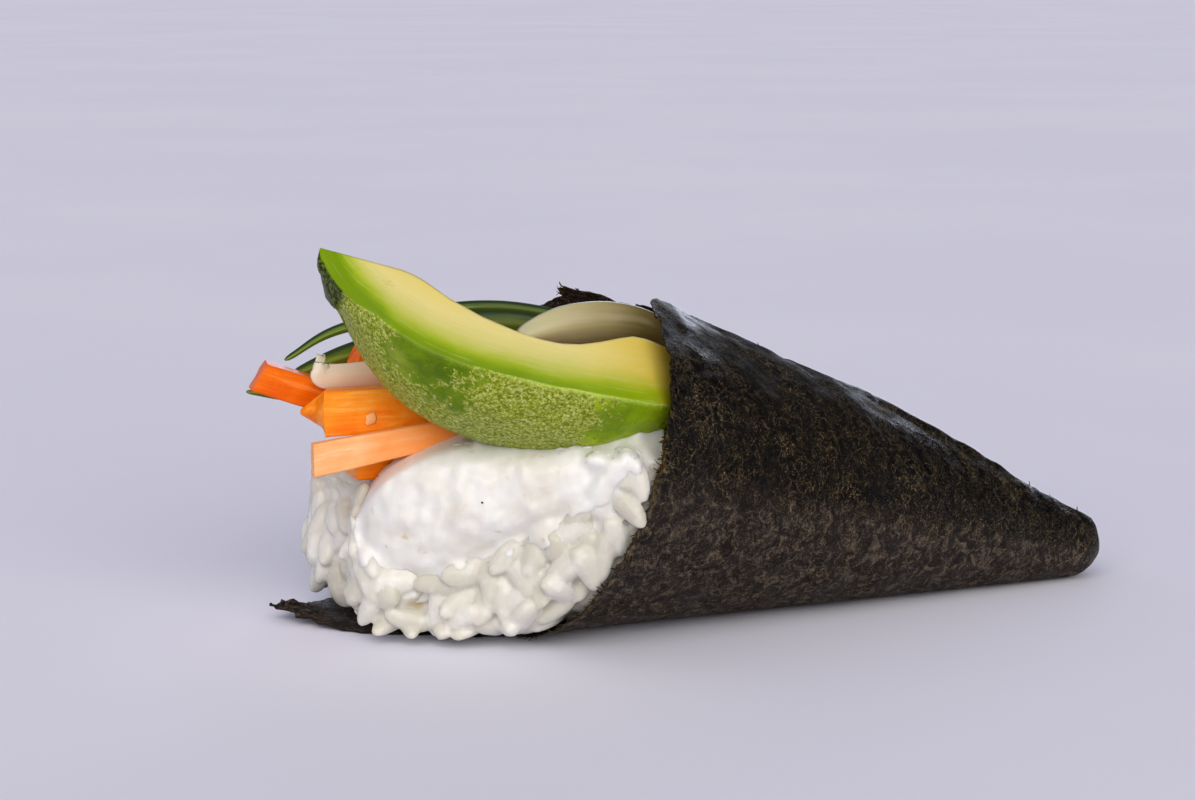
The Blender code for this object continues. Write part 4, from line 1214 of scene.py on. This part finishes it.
def stick_mesh(name, end, far_end, size, roll, slant):
    """A cut stick's points and faces, and (along, across, up) in mm at each point."""
    start, stop = Vector(end), Vector(far_end)
    length = (stop - start).length
    along = (stop - start) / length
    side = Vector((0, 0, 1)).cross(along).normalized()
    tall = along.cross(side)
    turned = math.radians(roll)
    side, tall = (
        math.cos(turned) * side + math.sin(turned) * tall,
        math.cos(turned) * tall - math.sin(turned) * side,
    )
    rings, grain = [], []
    for i in range(-len(END_RINGS), STICK_STATIONS + 1):
        share = (max(0, i) / STICK_STATIONS) ** 1.4
        inset = END_RINGS[i] if i < 0 else 1.0
        bevel = ARRIS * 0.7 if i >= 0 else 0.0
        wide = size[0][0] + (size[1][0] - size[0][0]) * share
        high = size[0][1] + (size[1][1] - size[0][1]) * share
        ring = []
        for x, y, n in stick_outline(wide, high):
            a, b = 2 * x / wide, 2 * y / high
            cut = a * inset * slant[0] + b * inset * slant[1]
            cut += (1 + a * inset) / 2 * (abs(b * inset) - NOTCH_FROM) * slant[2]
            lean = (1.0 - share) ** 3 * cut
            knife = 0.06 * lumps((share * length, 3 * n, 0), 2.4, len(name))
            wave = STICK_WAVE * lumps((share * 5, n * 1.7 + a + b, wide), 1.6, len(name)) + knife
            spot = start + along * (share * length + lean + bevel)
            if i < 0:
                spot += along * 0.12 * lumps((a * inset * 3, b * inset * 3, 0), 2.0, len(name))
            swell = 1.0 + 2 * wave / (wide + high)
            ring.append(spot + side * (x * swell * inset) + tall * (y * swell * inset))
            grain.append((share * length, x * inset, y * inset))
        rings.append(ring)
    points, faces = loft(rings)
    grain += [(0.0, 0.0, 0.0), (length, 0.0, 0.0)]
    return points, faces, grain


def carrot_material(name, ramp, streak, roughness, deeper=("#ff9a3c", 0.0)):
    """Raw carrot: orange flesh in fibres along the stick, 0.3 to 0.8 mm apart, damp from the knife.

    Deeper is the colour that it takes on further along, and how much of it.
    """
    made, tree, shader = new_material(name)
    grain = add_node(tree, "Attribute", {"attribute_name": "fibre"})["Vector"]
    along = add_node(tree, "SeparateXYZ", {0: grain})["X"]
    drawn = add_node(tree, "Mapping", {0: grain, "Scale": (0.09, 1.1, 1.1)})[0]
    cloudy = {}
    for kind, place, size, detail, rough, distortion in (
        ("fibre", drawn, 1.0, 5.0, 0.65, 0.3), ("broad", grain, 4.5, 2.0, 0.5, 0.0),
        ("nick", grain, 0.65, 3.0, 0.7, 0.0), ("ripple", grain, 1.6, 3.0, 0.6, 0.0),
    ):
        cloudy[kind] = add_node(
            tree, "TexNoise",
            {0: place, "Scale": 1.0 / size, "Detail": detail, "Roughness": rough, "Distortion": distortion},
        )["Fac"]
    mixed = add_node(tree, "Mix", {"Factor": 0.45, "A": cloudy["fibre"], "B": cloudy["broad"]})["Result"]
    flesh = add_node(tree, "ValToRGB", {0: mixed, "ramp": ramp})["Color"]
    for read, start, stop, most, colour in (
        (cloudy["fibre"], 0.58, 0.72, 0.5, streak), (cloudy["nick"], 0.68, 0.76, 0.6, streak),
        (along, 6.0, 19.0, deeper[1], deeper[0]),
    ):
        share = add_node(tree, "MapRange", {0: read, "From Min": start, "From Max": stop, "To Max": most})[0]
        flesh = add_node(tree, "Mix", {"data_type": "RGBA", 0: share, 6: flesh, 7: colour})[2]
    fine = add_node(tree, "Math", {"operation": "ADD", 0: cloudy["fibre"], 1: cloudy["ripple"]})[0]
    rippled = add_node(tree, "Bump", {"Height": fine, "Strength": 0.35, "Distance": 0.0003})["Normal"]
    set_up(
        tree, shader,
        {"Roughness": roughness, "Base Color": flesh, "Normal": rippled, "IOR": 1.4,
         "Specular IOR Level": 0.2, "Subsurface Weight": 0.15, "Subsurface Radius": (1.0, 0.5, 0.15),
         "Subsurface Scale": 0.0008},
    )
    return made


raw_carrot = carrot_material(
    "raw_carrot_cut_with_a_knife",
    ((0.36, "#f57200"), (0.5, "#ff8c10"), (0.64, "#ffa02a")), "#ffbe78", 0.34,
)
# A deeper orange, for the sticks further back in the roll
deep_carrot = carrot_material(
    "raw_carrot_deeper_orange",
    ((0.36, "#de5500"), (0.5, "#ec6604"), (0.64, "#fa7c12")), "#ffa25a", 0.34,
)
pale_carrot = carrot_material(
    "thin_pale_carrot_ribbon",
    ((0.36, "#f59e5c"), (0.5, "#f9ae72"), (0.64, "#fbbd88")), "#ffdab8", 0.4, ("#ff9434", 0.85),
)
for name, stick in STICKS.items():
    points, faces, grain = stick_mesh("carrot_" + name, *stick)
    look = {"ribbon": pale_carrot, "front": raw_carrot, "low": raw_carrot}.get(name, deep_carrot)
    slot_name = "pale_carrot" if name == "ribbon" else "carrot"
    piece_name = "carrot_thin_ribbon" if name == "ribbon" else "carrot_stick_" + name
    make_piece(piece_name, points, faces, look, ["carrot_" + name], {"fibre": grain})

# ---------------------------------------------------------------- onion
# Two pieces of white onion, each cut from one layer and laid in: a lens-shaped petal by the avocado, and a
# narrow strip with a curled tip over the carrot. Raw onion is juicy and translucent, with faint veins.

PETAL_LINE = ((-117.6, 8.2, 44.5), (-108, 7.2, 46.0), (-98, 5.6, 45.1), (-88, 3.2, 40.0))
STRIP_LINE = (
    (-148.5, 10.4, 42.9), (-148.8, 10.4, 41), (-147.2, 10.5, 39.4), (-139, 10.6, 39.5), (-127, 10.4, 39.4),
)
PETAL_UP, STRIP_UP = Vector((0.05, -0.1, 1.0)), Vector((0.2, 0.0, 1.0))
RIBBON_STATIONS, RIBBON_ACROSS = 80, 18


def curve_through(knots, count):
    """Points evenly spaced in parameter on a smooth curve through the knots."""
    spots = [Vector(k) for k in knots]
    spots = [2 * spots[0] - spots[1], *spots, 2 * spots[-1] - spots[-2]]
    made = []
    for i in range(count):
        place = i / (count - 1) * (len(knots) - 1)
        n = min(int(place), len(knots) - 2)
        t = place - n
        a, b, c, d = spots[n : n + 4]
        squared = 2 * a - 5 * b + 4 * c - d
        cubed = 3 * b - a - 3 * c + d
        made.append(0.5 * (2 * b + (c - a) * t + squared * t**2 + cubed * t**3))
    return made


def stations(knots, count):
    """(share, middle, way along, distance travelled) at places on a smooth curve through the knots."""
    line = curve_through(knots, count + 1)
    travelled = 0.0
    for i, middle in enumerate(line):
        before, after = line[max(i - 1, 0)], line[min(i + 1, count)]
        travelled += (middle - before).length
        yield i / count, middle, (after - before).normalized(), travelled


def ribbon_mesh(knots, tall, width, thickness, bow):
    """A curved strip of one onion layer, with (along, across, thickness) at each point."""
    rings, grain = [], []
    for share, middle, along, travelled in stations(knots, RIBBON_STATIONS):
        up = (tall - tall.dot(along) * along).normalized()
        out = along.cross(up)
        half = width(share) / 2
        front = [(2.0 * k / RIBBON_ACROSS - 1.0, 1.0) for k in range(RIBBON_ACROSS + 1)]
        back = [(1.0 - 2.0 * k / RIBBON_ACROSS, -1.0) for k in range(RIBBON_ACROSS + 1)]
        ring = []
        for a, b in front + back:
            thin = 1.0 - 0.55 * a * a
            wave = 0.12 * lumps((travelled, a * half, 0), 3.0, 4.0)
            away = bow * (1 - a * a) + b * thin * thickness / 2 + wave
            ring.append(middle + up * (a * half) + out * away)
            grain.append((travelled, a * half, share))
        rings.append(ring)
    points, faces = loft(rings)
    grain += [grain[0], grain[-1]]
    return points, faces, grain


def petal_width(share):
    """A lens, blunt at both ends."""
    return 0.9 + 5.7 * math.sin(math.pi * (0.02 + 0.9 * share**0.75)) ** 0.9


def strip_width(share):
    """A narrow curled tip that widens into the strip."""
    return 1.3 + 2.6 * smooth_step(0.12, 0.42, share)


def onion_material(name, ramp, clear):
    """Raw onion: watery cells between thin skins, so it takes the colour of what is behind it."""
    made, tree, shader = new_material(name)
    grain = add_node(tree, "Attribute", {"attribute_name": "vein"})["Vector"]
    share = add_node(tree, "SeparateXYZ", {0: grain})["Z"]
    drawn = add_node(tree, "Mapping", {0: grain, "Scale": (0.06, 1.1, 0.0)})[0]
    vein = add_node(
        tree, "TexNoise", {0: drawn, "Scale": 1.0, "Detail": 3.0, "Roughness": 0.55, "Distortion": 0.2}
    )["Fac"]
    place = add_node(tree, "Math", {"operation": "MULTIPLY_ADD", 0: vein, 1: 0.16, 2: share})[0]
    colour = add_node(tree, "ValToRGB", {0: place, "ramp": ramp})["Color"]
    ripple = add_node(tree, "Bump", {"Height": vein, "Strength": 0.25, "Distance": 0.0003})["Normal"]
    set_up(
        tree, shader,
        {"Transmission Weight": clear, "Base Color": colour, "Normal": ripple, "Roughness": 0.32,
         "IOR": 1.38, "Subsurface Weight": 0.15, "Subsurface Radius": (1.0, 0.9, 0.6),
         "Subsurface Scale": 0.0012},
    )
    return made


# The petal's ramp darkens to olive-brown towards its far end, deep in the roll by the nori: painted shade
petal_look = onion_material(
    "raw_onion_petal",
    ((0.1, "#c8c49a"), (0.32, "#bdb389"), (0.55, "#a29567"), (0.75, "#6b5d31"), (1.0, "#41361a")), 0.1,
)
strip_look = onion_material(
    "raw_onion_strip",
    ((0.12, "#dad8bf"), (0.3, "#e6dec9"), (0.5, "#e9d8c0"), (0.9, "#ead2b8")), 0.0,
)
points, faces, grain = ribbon_mesh(PETAL_LINE, PETAL_UP, petal_width, 1.5, 1.4)
make_piece("onion_layer_petal", points, faces, petal_look, ["onion_petal"], {"vein": grain})
points, faces, grain = ribbon_mesh(STRIP_LINE, STRIP_UP, strip_width, 1.2, 0.3)
make_piece("onion_layer_strip", points, faces, strip_look, ["onion_strip"], {"vein": grain})

# ---------------------------------------------------------------- green onion
# Leaves of green onion, laid in behind the carrots: hollow tubes pressed flat, thin and dark green, waxy
# outside, with fine ribs along them and a paler inside that shows as a light stripe.

# Each leaf: the line it follows from its cut end, its thickness, and its width as a share of that
LEAVES = {
    "thin": (
        ((-149.8, 26, 40), (-140, 26, 44.6), (-121, 24, 47.2), (-109, 18.6, 46.4), (-97, 14.5, 42)),
        1.9, 0.8,
    ),
    "wide": (
        ((-150.6, 20.2, 38.4), (-140, 20.2, 41.5), (-120, 19.4, 45.2), (-108, 15.6, 43.6),
         (-97, 11.5, 38.5)),
        3.9, 0.4,
    ),
    "low": (((-157.3, 21.6, 36.1), (-151.5, 21.2, 35.2), (-144, 20.8, 34.2), (-130, 19.6, 31.6)), 1.5, 0.7),
    "under": (((-149.2, 5.4, 30.3), (-144, 5.8, 30.2), (-136, 6.2, 30.15), (-126, 6.4, 30.1)), 1.1, 1.8),
}
LEAF_STATIONS, LEAF_SIDES = 90, 20
RIBS, RIB_HEIGHT = 5, 0.03


def leaf_mesh(knots, thick, flat):
    """A flattened tube that narrows to its tip, with (along, angle round it, share of its height) in it."""
    rings, grain = [], []
    for share, middle, along, travelled in stations(knots, LEAF_STATIONS):
        side = Vector((0, 0, 1)).cross(along).normalized()
        up = along.cross(side)
        tall = thick * (0.5 + 0.5 * smooth_step(0.0, 0.35, share)) / 2
        tall *= math.sqrt(1.0 - max(0.0, 1.0 - travelled / (0.9 * thick)) ** 2 * 0.93)
        ring = []
        for k in range(LEAF_SIDES):
            angle = 2 * math.pi * k / LEAF_SIDES
            rib = 1.0 + RIB_HEIGHT * math.cos(RIBS * angle)
            away = tall * rib
            ring.append(middle + up * (away * math.sin(angle)) + side * (away * flat * math.cos(angle)))
            grain.append((travelled, angle, math.sin(angle)))
        rings.append(ring)
    points, faces = loft(rings)
    grain += [grain[0], grain[-1]]
    return points, faces, grain


leaf_look, tree, shader = new_material("green_onion_leaf")
grain = add_node(tree, "Attribute", {"attribute_name": "leaf"})["Vector"]
split = add_node(tree, "SeparateXYZ", {0: grain})
tallness = split["Z"]
drawn = add_node(tree, "Mapping", {0: grain, "Scale": (0.12, 1.0, 2.4)})[0]
rib = add_node(tree, "TexNoise", {0: drawn, "Scale": 1.0, "Detail": 3.0, "Roughness": 0.5})["Fac"]
stripe = add_node(tree, "Math", {"operation": "MULTIPLY_ADD", 0: rib, 1: 0.5, 2: tallness})[0]
leaf_colour = add_node(
    tree, "ValToRGB",
    {0: stripe,
     "ramp": ((0.0, "#5a7014"), (0.3, "#8fa04c"), (0.55, "#6b8826"), (0.8, "#3c560a"), (1.0, "#203504"))},
)["Color"]
darker = add_node(tree, "MapRange", {0: split["X"], "From Min": 24.0, "From Max": 33.0, "To Max": 0.6})[0]
leaf_colour = add_node(tree, "Mix", {"data_type": "RGBA", 0: darker, 6: leaf_colour, 7: "#1e3002"})[2]
ribbed = add_node(tree, "Bump", {"Height": rib, "Strength": 0.3, "Distance": 0.0003})["Normal"]
set_up(
    tree, shader,
    {"Base Color": leaf_colour, "Normal": ribbed, "Roughness": 0.38, "IOR": 1.42, "Specular IOR Level": 0.3,
     "Subsurface Weight": 0.1, "Subsurface Radius": (0.5, 1.0, 0.2), "Subsurface Scale": 0.0008},
)
for name, leaf in LEAVES.items():
    points, faces, grain = leaf_mesh(*leaf)
    make_piece("green_onion_" + name, points, faces, leaf_look, ["leaf_" + name], {"leaf": grain})

# ---------------------------------------------------------------- table, camera and light
# A pale matt table under the roll, a camera a little above it at the roll's open end, and the soft light of
# a studio: wide softboxes in front and to the left, a cool window behind, and a darker room to the right.

HALF_TABLE = 7.0  # metres, so that its far edge isn't in view
TABLE_CORNERS = [(x * HALF_TABLE, y * HALF_TABLE, 0) for x, y in ((-1, -1), (1, -1), (1, 1), (-1, 1))]

floor_mesh = bpy.data.meshes.new("table")
floor_mesh.from_pydata(TABLE_CORNERS, [], [(0, 1, 2, 3)])
floor = bpy.data.objects.new("table", floor_mesh)
bpy.context.scene.collection.objects.link(floor)
table_look, tree, shader = new_material("pale_matt_table")
room = add_node(tree, "TexCoord", {})["Object"]
speckle = add_node(
    tree, "TexNoise", {0: room, "Scale": 1.0 / (250.0 * MM), "Detail": 4.0, "Roughness": 0.6}
)["Fac"]
table_colour = add_node(
    tree, "ValToRGB", {0: speckle, "ramp": ((0.3, "#e6e6f4"), (0.7, "#ebebf7"))}
)["Color"]
set_up(tree, shader, {"Base Color": table_colour, "Roughness": 0.9, "Specular IOR Level": 0.0})
floor_mesh.materials.append(table_look)

CAMERA_PLACE = Vector((-183.6, -400.7, 102.8)) * MM
CAMERA_WAY = Vector((0.378, 0.9125, -0.1564))

camera = bpy.data.objects.new("camera", bpy.data.cameras.new("camera"))
camera.data.lens = 85.0
camera.data.sensor_width = 36.0
camera.data.clip_start = 0.01
camera.data.clip_end = 50.0
camera.location = CAMERA_PLACE
camera.rotation_euler = CAMERA_WAY.to_track_quat("-Z", "Y").to_euler()
bpy.context.scene.collection.objects.link(camera)
bpy.context.scene.camera = camera

# Two softboxes, large and far off: the side that each one's light comes from, and its strength
SOFTBOXES = {"softbox_left": ((-1.1, -1.5, 1.2), 1.5), "softbox_front": ((0.1, -1.8, 0.6), 1.42)}
SOFTBOX_ANGLE = math.radians(50.0)  # how wide it looks from the roll
SOFTBOX_COLOUR = "#fffaf2"
AIM = Vector((0.0, 0.0, 0.02))

for name, (place, power) in SOFTBOXES.items():
    lamp = bpy.data.objects.new(name, bpy.data.lights.new(name, "SUN"))
    lamp.data.angle = SOFTBOX_ANGLE
    lamp.data.energy = power
    lamp.data.color = linear(SOFTBOX_COLOUR)[:3]
    lamp.location = place
    lamp.rotation_euler = (AIM - Vector(place)).to_track_quat("-Z", "Y").to_euler()
    bpy.context.scene.collection.objects.link(lamp)

# The room round the table: a pale dome, with the window as a bright patch low behind the roll, and dark to
# the right of it
TO_WINDOW, TO_DARK_SIDE = (0.56, 0.82, 0.12), (0.97, -0.17, 0.17)
WINDOW_TINT = (0.78, 0.86, 1.0)
world = bpy.data.worlds.new("studio")
world.use_nodes = True
bpy.context.scene.world = world
tree = world.node_tree
way = add_node(tree, "TexCoord", {})["Generated"]
height = add_node(tree, "SeparateXYZ", {0: way})["Z"]
dome = add_node(
    tree, "ValToRGB", {0: height, "ramp": ((0.0, "#a6a6b6"), (0.4, "#a2a2b0"), (1.0, "#a4a4b2"))}
)["Color"]
to_window = add_node(tree, "VectorMath", {"operation": "DOT_PRODUCT", 0: way, 1: TO_WINDOW})["Value"]
window = add_node(
    tree, "MapRange", {0: to_window, "From Min": 0.93, "From Max": 0.975, "To Min": 0.0, "To Max": 3.0}
)[0]
lit = add_node(
    tree, "VectorMath", {"operation": "MULTIPLY_ADD", 0: window, 1: WINDOW_TINT, 2: dome}
)["Vector"]
to_dark = add_node(tree, "VectorMath", {"operation": "DOT_PRODUCT", 0: way, 1: TO_DARK_SIDE})["Value"]
dark = add_node(
    tree, "MapRange", {0: to_dark, "From Min": 0.5, "From Max": 0.64, "To Min": 0.0, "To Max": 0.99}
)[0]
shaded = add_node(tree, "Mix", {"data_type": "RGBA", 0: dark, 6: lit, 7: "#1c1a18"})[2]
set_up(tree, tree.nodes["Background"], {"Color": shaded, "Strength": 1.0})

view = bpy.context.scene.view_settings
view.view_transform = "Standard"
view.look = "None"
